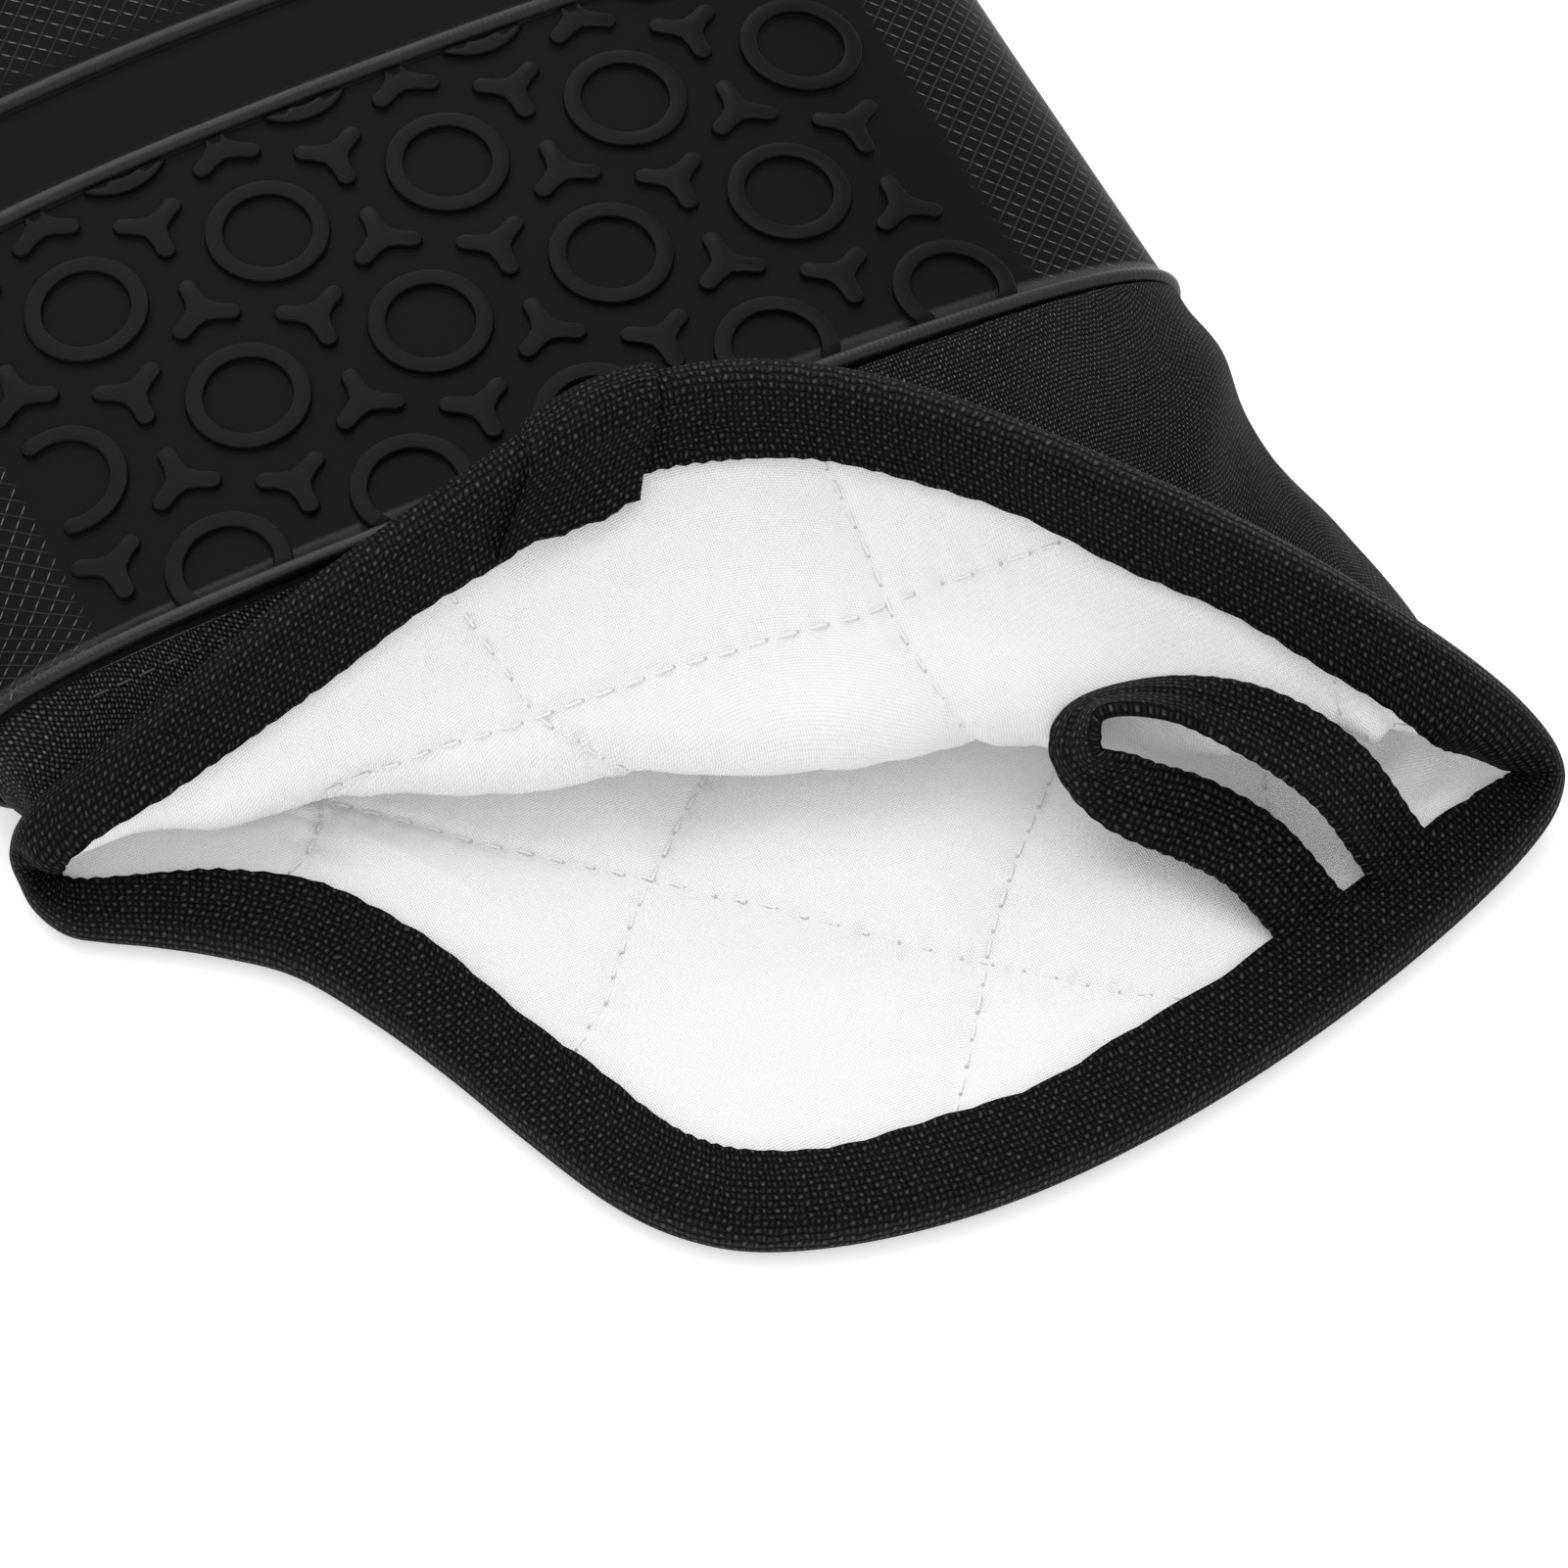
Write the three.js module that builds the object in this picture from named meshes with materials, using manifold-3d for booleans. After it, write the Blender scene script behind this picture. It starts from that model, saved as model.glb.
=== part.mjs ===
// Silicone oven glove: moulded hand, padded lining, woven cuff, bound rim and hanging loop.
// Millimetres. X runs across the hand, Y from the cuff seam to the fingertips, Z up from the table.
import * as THREE from 'three'
import { mergeVertices } from 'three/addons/utils/BufferGeometryUtils.js'
import Module from 'manifold-3d'

const wasm = await Module()
wasm.setup()

// Walls and gaps
const SHELL_WALL = 2.0
const FABRIC_WALL = 1.5
const LINING_WALL = 3.0
const LINING_RIM_WALL = 1.4
const TAPE = 0.9
const GAP = 0.3

// Cross-section of the hand: a domed top, a fuller underside flattened by the table
const WIDEST_HEIGHT = 12.5
const TOP_POWER = 2.4
const UNDER_POWER = 3.2
const UNDER_SINK = 1.2
const SECTION_STEPS = 720

// Cuff seam: half width and crown of the hand there, and the bow of the seam across the top
const SEAM_HALF = 75
const SEAM_CROWN = 27
const SEAM_BOW = 2.5
const SEAM_SKEW = 1.0

// Hand sections: distance from the seam, half width, crown height, centre
const HAND = [
  { y: 35, half: 75, crown: 29, centre: 0 },
  { y: 105, half: 75, crown: 33, centre: 1 },
  { y: 140, half: 70.5, crown: 34, centre: 4 },
  { y: 172, half: 62, crown: 32, centre: 8 },
  { y: 200, half: 49, crown: 28, centre: 11 },
  { y: 220, half: 34, crown: 23, centre: 13 },
  { y: 231, half: 19, crown: 18.5, centre: 14 },
]
const HAND_TIP = { x: 14, y: 236.5, z: 11.5 }

// Thumb sections: distance along the thumb from its root, half width, crown height
const THUMB_ROOT = { x: -30, y: 72 }
const THUMB_AIM = { x: -0.64, y: 0.77 }
const THUMB_STATIONS = 16
const THUMB = [
  { along: 0, half: 25, crown: 26 },
  { along: 30, half: 27, crown: 27.5 },
  { along: 62, half: 25.5, crown: 27.5 },
  { along: 86, half: 22.5, crown: 26 },
  { along: 104, half: 15.5, crown: 22 },
  { along: 112, half: 8, crown: 17.5 },
]
const THUMB_TIP = { along: 115.5, z: 11.5 }

// Mouth: one row for each station round the rim, from the left corner over the upper lip to the
// right corner and back along the lower lip. seam is the share of the seam loop, x y z the rim,
// tilt and turn the slope and heading of the cloth at the rim, lean the length that keeps them, and
// foldX to rise the fold between seam and lip. A row without a fold runs straight.
const MOUTH = [
  { seam: 0, x: -74.3, y: -8.5, z: 4.5, tilt: 10, turn: 28, lean: 5, foldX: -70.5, foldY: -2.7, foldZ: 9.5, rise: 0 },
  { seam: 4, x: -72, y: -6.5, z: 12.5, tilt: 42, turn: -8, lean: 7.2, foldX: -67.5, foldY: -8, foldZ: 10, rise: 0.7 },
  { seam: 9.5, x: -55, y: -7.5, z: 23.5, tilt: 65, lean: 10, foldX: -54, foldY: -14, foldZ: 11.5, rise: 3.2 },
  { seam: 16, x: -38, y: -7.5, z: 32.3, tilt: 72, lean: 13, foldX: -37, foldY: -19, foldZ: 13.5, rise: 4 },
  { seam: 22, x: -19, y: -7.5, z: 40.3, tilt: 80, lean: 13, foldX: -19.5, foldY: -27, foldZ: 14.5, rise: 4.5 },
  { seam: 28, x: -1, y: -6.5, z: 44.5, tilt: 84, lean: 13, foldX: -1.5, foldY: -34.5, foldZ: 15, rise: 4.5 },
  { seam: 33, x: 15.2, y: -10, z: 44.5, tilt: 84, lean: 13, foldX: 12, foldY: -40, foldZ: 15, rise: 4.5 },
  { seam: 38, x: 31, y: -19.5, z: 41.3, tilt: 82, lean: 13, foldX: 27, foldY: -46, foldZ: 15, rise: 4.5 },
  { seam: 43, x: 47, y: -35.5, z: 37, tilt: 78, lean: 13, foldX: 43, foldY: -54, foldZ: 15, rise: 4 },
  { seam: 46.5, x: 62, y: -51, z: 30.5, tilt: 70, lean: 12, foldX: 58, foldY: -62, foldZ: 13.5, rise: 3 },
  { seam: 49, x: 75, y: -63.5, z: 20.5, tilt: 55, lean: 10, foldX: 70, foldY: -62, foldZ: 14, rise: 1.2 },
  { seam: 51, x: 82.5, y: -72.5, z: 10, tilt: 30, turn: -30, lean: 7, foldX: 77.5, foldY: -45, foldZ: 9.5, rise: 0 },
  { seam: 54, x: 77, y: -77.5, z: 4.5, tilt: 10, turn: -15, lean: 9, foldX: 71.5, foldY: -45, foldZ: 4.2, rise: 0 },
  { seam: 60, x: 52, y: -86, z: 3, tilt: 0, lean: 13 },
  { seam: 67, x: 25, y: -91.5, z: 3, tilt: 0, lean: 13 },
  { seam: 74.5, x: 0, y: -92, z: 3, tilt: 0, lean: 13 },
  { seam: 80, x: -22, y: -86, z: 3, tilt: 0, lean: 13 },
  { seam: 84, x: -33.5, y: -73.5, z: 3, tilt: 0, lean: 13 },
  { seam: 88, x: -42, y: -51, z: 3, tilt: 0, lean: 13 },
  { seam: 91.5, x: -51.5, y: -31, z: 3, tilt: 0, lean: 12 },
  { seam: 95, x: -64, y: -20.5, z: 3, tilt: 4, turn: 8, lean: 8.7, foldX: -61, foldY: -7, foldZ: 3.5, rise: 0 },
  { seam: 98, x: -72, y: -15.3, z: 3, tilt: 1, turn: 27, lean: 6.8, foldX: -69, foldY: -3.7, foldZ: 5, rise: 0 },
]
const STEPS_PER_ROW = 2
const FULL_LEAN = 13
const FOLD_DIP = 0.6
const DEEPEST_DIP = 4
const TAPE_LEG = 9
const LEG_SHARE = 0.75
const CUFF_ROWS = 6
const EASE_PASSES = 2
const PINCH_LEAN = 10
const LEAST_PINCH = 0.6
const CORNER_CLEARANCE = 0.1

// Relief on the back of the hand
const RELIEF = { height: 0.6, depth: 1.0, left: -56, right: 56, near: 1, far: 59.4 }
const RING = { outer: 7.1, inner: 5.05, sides: 8 }
const LATTICE = { x: -19.3, y: 44.55, step: 22.5, first: -2, last: 1, lastX: 51 }
const NUB = { arm: 4.5, width: 2.2 }
const BEAD_RADIUS = 1.35
const RIDGE_RADIUS = 1.5
const RIDGES = [60.8, 75.1]

// Hanging loop: its centre line from the front root round the tip to the back root, and the
// direction that the flat of the tape faces
const LOOP_TAPE = { width: 8.4, thick: 1.6, steps: 18 }
const LOOP = [
  { x: 49.0, y: -75.6, z: 6.5, faceX: -0.1, faceY: -0.1, faceZ: 1 },
  { x: 46.2, y: -70.6, z: 11.0, faceX: -0.2, faceY: -0.3, faceZ: 1 },
  { x: 41.6, y: -65.4, z: 13.8, faceX: -0.3, faceY: -0.6, faceZ: 1 },
  { x: 35.4, y: -60.8, z: 17.0, faceX: -0.6, faceY: -0.9, faceZ: 0.6 },
  { x: 31.6, y: -55.8, z: 20.6, faceX: -1, faceY: -0.4, faceZ: 0 },
  { x: 35.2, y: -53.0, z: 23.6, faceX: -0.3, faceY: 0.5, faceZ: 0.8 },
  { x: 43.2, y: -56.4, z: 24.4, faceX: 0.1, faceY: 0.1, faceZ: 1 },
  { x: 51.0, y: -62.4, z: 22.0, faceX: 0.1, faceY: -0.25, faceZ: 1 },
  { x: 57.4, y: -68.4, z: 16.2, faceX: 0.15, faceY: -0.45, faceZ: 1 },
  { x: 60.6, y: -73.0, z: 6.4, faceX: 0.2, faceY: -0.4, faceZ: 1 },
]

const UP = new THREE.Vector3(0, 0, 1)
const vector = (x, y, z) => new THREE.Vector3(x, y, z)
const mix = (a, b, share) => a + (b - a) * share
const clamp = THREE.MathUtils.clamp
const power = (value, exponent) => Math.sign(value) * Math.abs(value) ** exponent

// Outline of a hand section, inset from the outer face, from the left side over the top
function outline(half, crown, inset) {
  const points = []
  for (let i = 0; i < SECTION_STEPS; i++) {
    const angle = Math.PI - (2 * Math.PI * i) / SECTION_STEPS
    const c = Math.cos(angle)
    const s = Math.sin(angle)
    const exponent = s > 0 ? 2 / TOP_POWER : 2 / UNDER_POWER
    const tall = s > 0 ? crown - inset - WIDEST_HEIGHT : WIDEST_HEIGHT + UNDER_SINK - inset
    const z = WIDEST_HEIGHT + tall * power(s, exponent)
    points.push([(half - inset) * power(c, exponent), Math.max(z, inset, 0)])
  }
  return points
}

// Point of an outline at a share of its length
function shareOf(points, shares) {
  const lengths = [0]
  for (let i = 1; i <= points.length; i++) {
    const a = points[i - 1]
    const b = points[i % points.length]
    lengths.push(lengths[i - 1] + Math.hypot(b[0] - a[0], b[1] - a[1]))
  }
  const total = lengths[points.length]
  return shares.map((share) => {
    const wanted = (share - Math.floor(share)) * total
    let i = 1
    while (lengths[i] < wanted) i++
    const part = (wanted - lengths[i - 1]) / (lengths[i] - lengths[i - 1])
    const a = points[i - 1]
    const b = points[i % points.length]
    return [mix(a[0], b[0], part), mix(a[1], b[1], part)]
  })
}

// How far the seam bows towards the fingers, across the top
function seamBow(x, z) {
  const across = x / SEAM_HALF
  return (SEAM_BOW * across * across - SEAM_SKEW * across) * clamp((z - 2) / 10, 0, 1)
}

function seamRing(shares, inset) {
  const ring = shareOf(outline(SEAM_HALF, SEAM_CROWN, inset), shares)
  const face = shareOf(outline(SEAM_HALF, SEAM_CROWN, 0), shares)
  return ring.map(([x, z], i) => vector(x, seamBow(...face[i]), z))
}

function handRing(row, shares, inset) {
  const ring = shareOf(outline(row.half, row.crown, inset), shares)
  return ring.map(([x, z]) => vector(x + row.centre, row.y - tipShrink(row, inset), z))
}

// Near the fingertip the inner sections also draw back
function tipShrink(row, inset) {
  return inset * clamp((row.y - 190) / 45, 0, 1)
}

// Closed Catmull-Rom value of a table column at a place between rows
function blend(values, place) {
  const n = values.length
  const i = Math.floor(place)
  const t = place - i
  const at = (k) => values[(((i + k) % n) + n) % n]
  const a = -at(-1) + 3 * at(0) - 3 * at(1) + at(2)
  const b = 2 * at(-1) - 5 * at(0) + 4 * at(1) - at(2)
  return 0.5 * (2 * at(0) + (at(1) - at(-1)) * t + b * t * t + a * t * t * t)
}

// Clamped cubic B-spline through six control points, by de Boor's rule
function spline(controls, t) {
  const knots = [0, 0, 0, 0, 1, 2, 3, 3, 3, 3]
  const u = clamp(t * 3, 0, 3 - 1e-9)
  const span = 3 + Math.floor(u)
  const work = [0, 1, 2, 3].map((i) => controls[span - 3 + i].clone())
  for (let level = 1; level <= 3; level++) {
    for (let i = 3; i >= level; i--) {
      const low = knots[span - 3 + i]
      const high = knots[span + 1 + i - level]
      work[i].lerpVectors(work[i - 1], work[i], (u - low) / (high - low))
    }
  }
  return work[3]
}

const COUNT = MOUTH.length * STEPS_PER_ROW
const PLACES = Array.from({ length: COUNT }, (_, i) => i / STEPS_PER_ROW)
const column = (name) => MOUTH.map((row) => row[name] ?? 0)
const SEAM_DRIFT = MOUTH.map((row, i) => row.seam / 100 - i / MOUTH.length)
const SHARES = PLACES.map((place) => blend(SEAM_DRIFT, place) + place / MOUTH.length)
const SEAM = seamRing(SHARES, SHELL_WALL)
const RIM = PLACES.map((p) => vector(...['x', 'y', 'z'].map((name) => blend(column(name), p))))
const LEANS = PLACES.map((place) => blend(column('lean'), place))

// Point on the cloth a lean below the rim, down and in from it
function leanPoint(i) {
  const along = RIM[(i + 1) % COUNT].clone().sub(RIM[(i - 1 + COUNT) % COUNT])
  const turn = THREE.MathUtils.degToRad(blend(column('turn'), PLACES[i]))
  const inward = vector(along.y, -along.x, 0).normalize().applyAxisAngle(UP, turn)
  const tilt = THREE.MathUtils.degToRad(blend(column('tilt'), PLACES[i]))
  const step = inward.multiplyScalar(Math.cos(tilt)).addScaledVector(UP, -Math.sin(tilt))
  return RIM[i].clone().addScaledVector(step, LEANS[i])
}

// Fold points of the table rows, half-way between seam and lean point where a row names none
const FOLDS = MOUTH.map((row, r) => {
  const i = r * STEPS_PER_ROW
  if (row.foldX !== undefined) return vector(row.foldX, row.foldY, row.foldZ)
  return SEAM[i].clone().lerp(leanPoint(i), 0.5)
})

// The six points that steer the cloth from seam to rim at a station
function controlsAt(i) {
  const place = PLACES[i]
  const fold = vector(...['x', 'y', 'z'].map((name) => blend(FOLDS.map((f) => f[name]), place)))
  const rise = Math.max(blend(column('rise'), place), 0)
  const lean = leanPoint(i)
  const first = SEAM[i].clone()
  const reach = 0.35 * fold.distanceTo(SEAM[i])
  const folded = clamp(rise, 0, 1)
  first.y -= reach
  first.z -= folded * Math.min(FOLD_DIP * reach, DEEPEST_DIP)
  const third = lean.clone().sub(first).multiplyScalar(0.4 / 3)
  const below = fold.clone().sub(third).lerp(fold.clone().addScaledVector(UP, -rise), folded)
  const above = fold.clone().add(third).lerp(fold.clone().addScaledVector(UP, rise), folded)
  return [SEAM[i].clone(), first, below, above, lean, RIM[i].clone()]
}

// Distances of the cloth's rows from the rim: the tape's inner edge, the rest down to the seam
function rowDistances(length, lean) {
  const leg = Math.min(TAPE_LEG, LEG_SHARE * lean)
  const rest = Array.from({ length: CUFF_ROWS }, (_, k) => mix(leg, length, (k + 1) / CUFF_ROWS))
  return [0, leg, ...rest]
}

// Cloth surface of the cuff, as stations of points from the rim down to the seam
function cuffStation(i) {
  const controls = controlsAt(i)
  const fine = Array.from({ length: 61 }, (_, k) => spline(controls, 1 - k / 60))
  const lengths = [0]
  for (let k = 1; k < fine.length; k++) {
    lengths.push(lengths[k - 1] + fine[k].distanceTo(fine[k - 1]))
  }
  return rowDistances(lengths[60], LEANS[i]).map((distance) => {
    let k = 1
    while (k < 60 && lengths[k] < distance) k++
    const part = clamp((distance - lengths[k - 1]) / (lengths[k] - lengths[k - 1]), 0, 1)
    return fine[k - 1].clone().lerp(fine[k], part)
  })
}
const CLOTH = PLACES.map((_, i) => cuffStation(i))
const ROWS = CLOTH[0].length

// Direction from the cloth into the glove, at each point of the surface, eased along the rows
let INWARD = CLOTH.map((station, i) =>
  station.map((_, k) => {
    const round = CLOTH[(i + 1) % COUNT][k].clone().sub(CLOTH[(i - 1 + COUNT) % COUNT][k])
    const down = station[Math.max(k - 1, 0)].clone().sub(station[Math.min(k + 1, ROWS - 1)])
    return round.cross(down).normalize()
  }),
)
for (let pass = 0; pass < EASE_PASSES; pass++) {
  INWARD = INWARD.map((station, i) =>
    station.map((own, k) => {
      const sum = own.clone().multiplyScalar(2)
      sum.add(INWARD[(i + 1) % COUNT][k]).add(INWARD[(i - 1 + COUNT) % COUNT][k])
      return sum.normalize()
    }),
  )
}
// Share of the full wall that is left at each station: the cloth is pinched at the mouth's corners
const PINCH = LEANS.map((lean) => clamp(lean / PINCH_LEAN, LEAST_PINCH, 1))
const OUTWARD_AT_RIM = CLOTH.map((station) => station[0].clone().sub(station[1]).normalize())

// A row of the cloth moved by a distance into the glove
function clothRing(k, offset) {
  return CLOTH.map((station, i) => {
    const shift = typeof offset === 'function' ? offset(i, k) : offset
    return station[k].clone().addScaledVector(INWARD[i][k], shift * PINCH[i])
  })
}

// The first row pushed out past the rim
function pastRim(offset, reach) {
  return clothRing(0, offset).map((p, i) => p.addScaledVector(OUTWARD_AT_RIM[i], reach))
}

// Padding grows from the rim inward, and thins at the mouth's corners
function liningInner(i, k) {
  const grown = clamp((k - 1) / 2, 0, 1) * (LEANS[i] / FULL_LEAN)
  return GAP + mix(LINING_RIM_WALL, LINING_WALL, clamp(grown, 0, 1))
}

// Triangles between rings of equal count, with pole or fan ends
function loft(rings, closed = false) {
  const positions = []
  const add = (a, b, c) => positions.push(...a.toArray(), ...b.toArray(), ...c.toArray())
  const last = closed ? rings.length : rings.length - 1
  for (let r = 0; r < last; r++) {
    const near = rings[r]
    const far = rings[(r + 1) % rings.length]
    for (let i = 0; i < near.length; i++) {
      const j = (i + 1) % near.length
      add(near[i], near[j], far[j])
      add(near[i], far[j], far[i])
    }
  }
  if (!closed) {
    const fan = (ring, flip) => {
      const middle = ring.reduce((sum, p) => sum.add(p), vector(0, 0, 0)).divideScalar(ring.length)
      ring.forEach((p, i) => {
        const next = ring[(i + 1) % ring.length]
        if (flip) add(middle, next, p)
        else add(middle, p, next)
      })
    }
    fan(rings[0], true)
    fan(rings[rings.length - 1], false)
  }
  return positions
}

// Closed solid from a list of triangles, faces turned outward
function solid(positions) {
  const geometry = new THREE.BufferGeometry()
  geometry.setAttribute('position', new THREE.Float32BufferAttribute(positions, 3))
  const merged = mergeVertices(geometry, 1e-4)
  let triangles = Array.from(merged.index.array)
  const at = merged.attributes.position
  const kept = []
  for (let t = 0; t < triangles.length; t += 3) {
    const [a, b, c] = triangles.slice(t, t + 3)
    if (a !== b && b !== c && c !== a) kept.push(a, b, c)
  }
  triangles = kept
  let volume = 0
  const p = [vector(), vector(), vector()]
  for (let t = 0; t < triangles.length; t += 3) {
    for (let k = 0; k < 3; k++) p[k].fromBufferAttribute(at, triangles[t + k])
    volume += p[0].dot(p[1].clone().cross(p[2]))
  }
  if (volume < 0) {
    for (let t = 0; t < triangles.length; t += 3) {
      const swap = triangles[t]
      triangles[t] = triangles[t + 1]
      triangles[t + 1] = swap
    }
  }
  const vertProperties = Float32Array.from(at.array)
  const triVerts = Uint32Array.from(triangles)
  return new wasm.Manifold(new wasm.Mesh({ numProp: 3, vertProperties, triVerts }))
}

const tipRing = (point, count) => Array.from({ length: count }, () => point.clone())

// Hand as a plug at an inset: fingertip, hand sections, then what the caller adds
function handPlug(inset, tail, ridges = []) {
  const tip = vector(HAND_TIP.x, HAND_TIP.y - inset, HAND_TIP.z)
  const [first, ...others] = HAND
  const rings = others.reverse().map((row) => handRing(row, SHARES, inset))
  const near = handRing(first, SHARES, inset)
  return solid(loft([tipRing(tip, COUNT), ...rings, ...ridges, near, ...tail]))
}

function thumbPlug(inset) {
  const shares = Array.from({ length: THUMB_STATIONS }, (_, i) => i / THUMB_STATIONS)
  const aim = vector(THUMB_AIM.x, THUMB_AIM.y, 0).normalize()
  const side = vector(aim.y, -aim.x, 0)
  const place = (along) => vector(THUMB_ROOT.x, THUMB_ROOT.y, 0).addScaledVector(aim, along)
  const rings = THUMB.map((row) => {
    const ring = shareOf(outline(row.half, row.crown, inset), shares)
    const back = inset * clamp((row.along - 80) / 30, 0, 1)
    return ring.map(([x, z]) => place(row.along - back).addScaledVector(side, x).setZ(z))
  })
  const tip = place(THUMB_TIP.along - inset).setZ(THUMB_TIP.z)
  return solid(loft([...rings, tipRing(tip, THUMB_STATIONS)]))
}

// Height of the hand's outer face over a point of the plan
function topHeight(x, y) {
  const rows = [{ y: 0, half: SEAM_HALF, crown: SEAM_CROWN, centre: 0 }, ...HAND]
  let r = 1
  while (r < rows.length - 1 && rows[r].y < y) r++
  const share = clamp((y - rows[r - 1].y) / (rows[r].y - rows[r - 1].y), 0, 1)
  const value = (name) => mix(rows[r - 1][name], rows[r][name], share)
  const across = Math.min(Math.abs(x - value('centre')) / value('half'), 1)
  return WIDEST_HEIGHT + (value('crown') - WIDEST_HEIGHT) * (1 - across ** TOP_POWER) ** (1 / TOP_POWER)
}

// Raised shape on the hand from an outline in plan, with an optional hole of as many points
function raised(points, hole) {
  const lift = ([x, y], dz) => vector(x, y, topHeight(x, y) + dz)
  const high = points.map((p) => lift(p, RELIEF.height))
  const low = points.map((p) => lift(p, -RELIEF.depth))
  if (!hole) return solid(loft([low, high]))
  const holeHigh = hole.map((p) => lift(p, RELIEF.height))
  const holeLow = hole.map((p) => lift(p, -RELIEF.depth))
  return solid(loft([low, high, holeHigh, holeLow], true))
}

function circle(x, y, radius) {
  return Array.from({ length: RING.sides }, (_, i) => {
    const angle = (2 * Math.PI * i) / RING.sides
    return [x + radius * Math.cos(angle), y + radius * Math.sin(angle)]
  })
}

// Three round-ended arms, the first along an angle
function nubOutline(x, y, angle) {
  const points = []
  const half = NUB.width / 2
  for (let arm = 0; arm < 3; arm++) {
    const a = angle + (arm * 2 * Math.PI) / 3
    const along = [Math.cos(a), Math.sin(a)]
    const side = [-along[1], along[0]]
    const put = (u, v) => points.push([x + u * along[0] + v * side[0], y + u * along[1] + v * side[1]])
    put(half / Math.tan(Math.PI / 3), -half)
    put(NUB.arm, -0.7 * half)
    put(NUB.arm, 0.7 * half)
  }
  return points
}

// Sections that carry the outer face over a ridge: foot, two sides of the crest, foot
function overRidge(ringAt, radius) {
  return [
    ringAt(-radius, 0),
    ringAt(-0.5 * radius, -0.85 * radius),
    ringAt(0.5 * radius, -0.85 * radius),
    ringAt(radius, 0),
  ]
}

// Section of the straight part of the hand at a distance from the seam
function straightRow(y) {
  const [near, far] = HAND
  const share = (y - near.y) / (far.y - near.y)
  const crown = mix(near.crown, far.crown, share)
  return { y, half: near.half, crown, centre: mix(near.centre, far.centre, share) }
}

function reliefPieces() {
  const pieces = []
  const rowStep = LATTICE.step * Math.sin(Math.PI / 3)
  for (let j = LATTICE.first; j <= LATTICE.last; j++) {
    const y = LATTICE.y + rowStep * j
    for (let i = -4; i <= 5; i++) {
      const x = LATTICE.x + LATTICE.step * (i + j / 2)
      if (x > LATTICE.lastX || x + RING.outer < RELIEF.left + 2) continue
      pieces.push(raised(circle(x, y, RING.outer), circle(x, y, RING.inner)))
    }
    for (let i = -5; i <= 5; i++) {
      const x = LATTICE.x + LATTICE.step * (i + j / 2)
      const third = rowStep / 3
      const spots = [
        { x: x + LATTICE.step / 2, y: y + third, angle: -Math.PI / 2 },
        { x, y: y + 2 * third, angle: Math.PI / 2 },
      ]
      for (const spot of spots) {
        const inside = spot.x > RELIEF.left - 1 && spot.x < RELIEF.right + 1
        if (inside && spot.y < RELIEF.far) pieces.push(raised(nubOutline(spot.x, spot.y, spot.angle)))
      }
    }
  }
  const zone = new THREE.BoxGeometry(RELIEF.right - RELIEF.left, RELIEF.far - RELIEF.near, 100)
  zone.translate((RELIEF.left + RELIEF.right) / 2, (RELIEF.near + RELIEF.far) / 2, 0)
  const patch = solid(Array.from(zone.toNonIndexed().attributes.position.array))
  return pieces.reduce((sum, piece) => sum.add(piece)).intersect(patch)
}

function siliconeShell() {
  const ridges = [...RIDGES].reverse().flatMap((y) => {
    const ringAt = (dy, inset) => handRing(straightRow(y - dy), SHARES, inset)
    return overRidge(ringAt, RIDGE_RADIUS)
  })
  const beadAt = (dy, inset) => {
    const ring = seamRing(SHARES, inset)
    return ring.map((p) => p.setY(p.y + BEAD_RADIUS - dy))
  }
  const outerHand = handPlug(0, overRidge(beadAt, BEAD_RADIUS), ridges)
  const past = seamRing(SHARES, SHELL_WALL).map((p) => p.setY(-8))
  const inner = handPlug(SHELL_WALL, [SEAM, past]).add(thumbPlug(SHELL_WALL))
  return outerHand.add(thumbPlug(0)).add(reliefPieces()).subtract(inner)
}

// Largest body of a shape, without the crumbs that a cut leaves at the pinched corners
function largestBody(shape) {
  return shape.decompose().reduce((most, body) => (body.volume() > most.volume() ? body : most))
}

function lining() {
  const inset = SHELL_WALL + GAP
  const rows = Array.from({ length: ROWS }, (_, k) => ROWS - 1 - k)
  const outer = handPlug(inset, rows.map((k) => clothRing(k, GAP))).add(thumbPlug(inset))
  const innerTail = [...rows.map((k) => clothRing(k, liningInner)), pastRim(liningInner, 3)]
  const inner = handPlug(inset + LINING_WALL, innerTail).add(thumbPlug(inset + LINING_WALL))
  return largestBody(outer.subtract(inner).subtract(rimBinding(CORNER_CLEARANCE)))
}

function fabricCuff() {
  const atSeam = CLOTH.map((station, i) => {
    const start = station[ROWS - 1].clone()
    start.y -= GAP
    return { start, inward: INWARD[i][ROWS - 1] }
  })
  const inside = atSeam.map(({ start }) => start)
  const outside = atSeam.map(({ start, inward }) => {
    const point = start.clone().addScaledVector(inward, -FABRIC_WALL)
    return point.setY(Math.min(point.y, start.y))
  })
  const rows = Array.from({ length: ROWS - 1 }, (_, k) => ROWS - 2 - k)
  const innerFace = [inside, ...rows.map((k) => clothRing(k, 0))]
  const outerFace = [outside, ...rows.map((k) => clothRing(k, -FABRIC_WALL))]
  const wall = solid(loft([...innerFace, ...outerFace.reverse()], true))
  return largestBody(wall.subtract(rimBinding(CORNER_CLEARANCE)))
}

// Offsets of the tape's faces from the cloth surface
const TAPE_INSIDE = GAP + LINING_RIM_WALL + GAP
const TAPE_OUTSIDE = FABRIC_WALL + GAP

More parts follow.
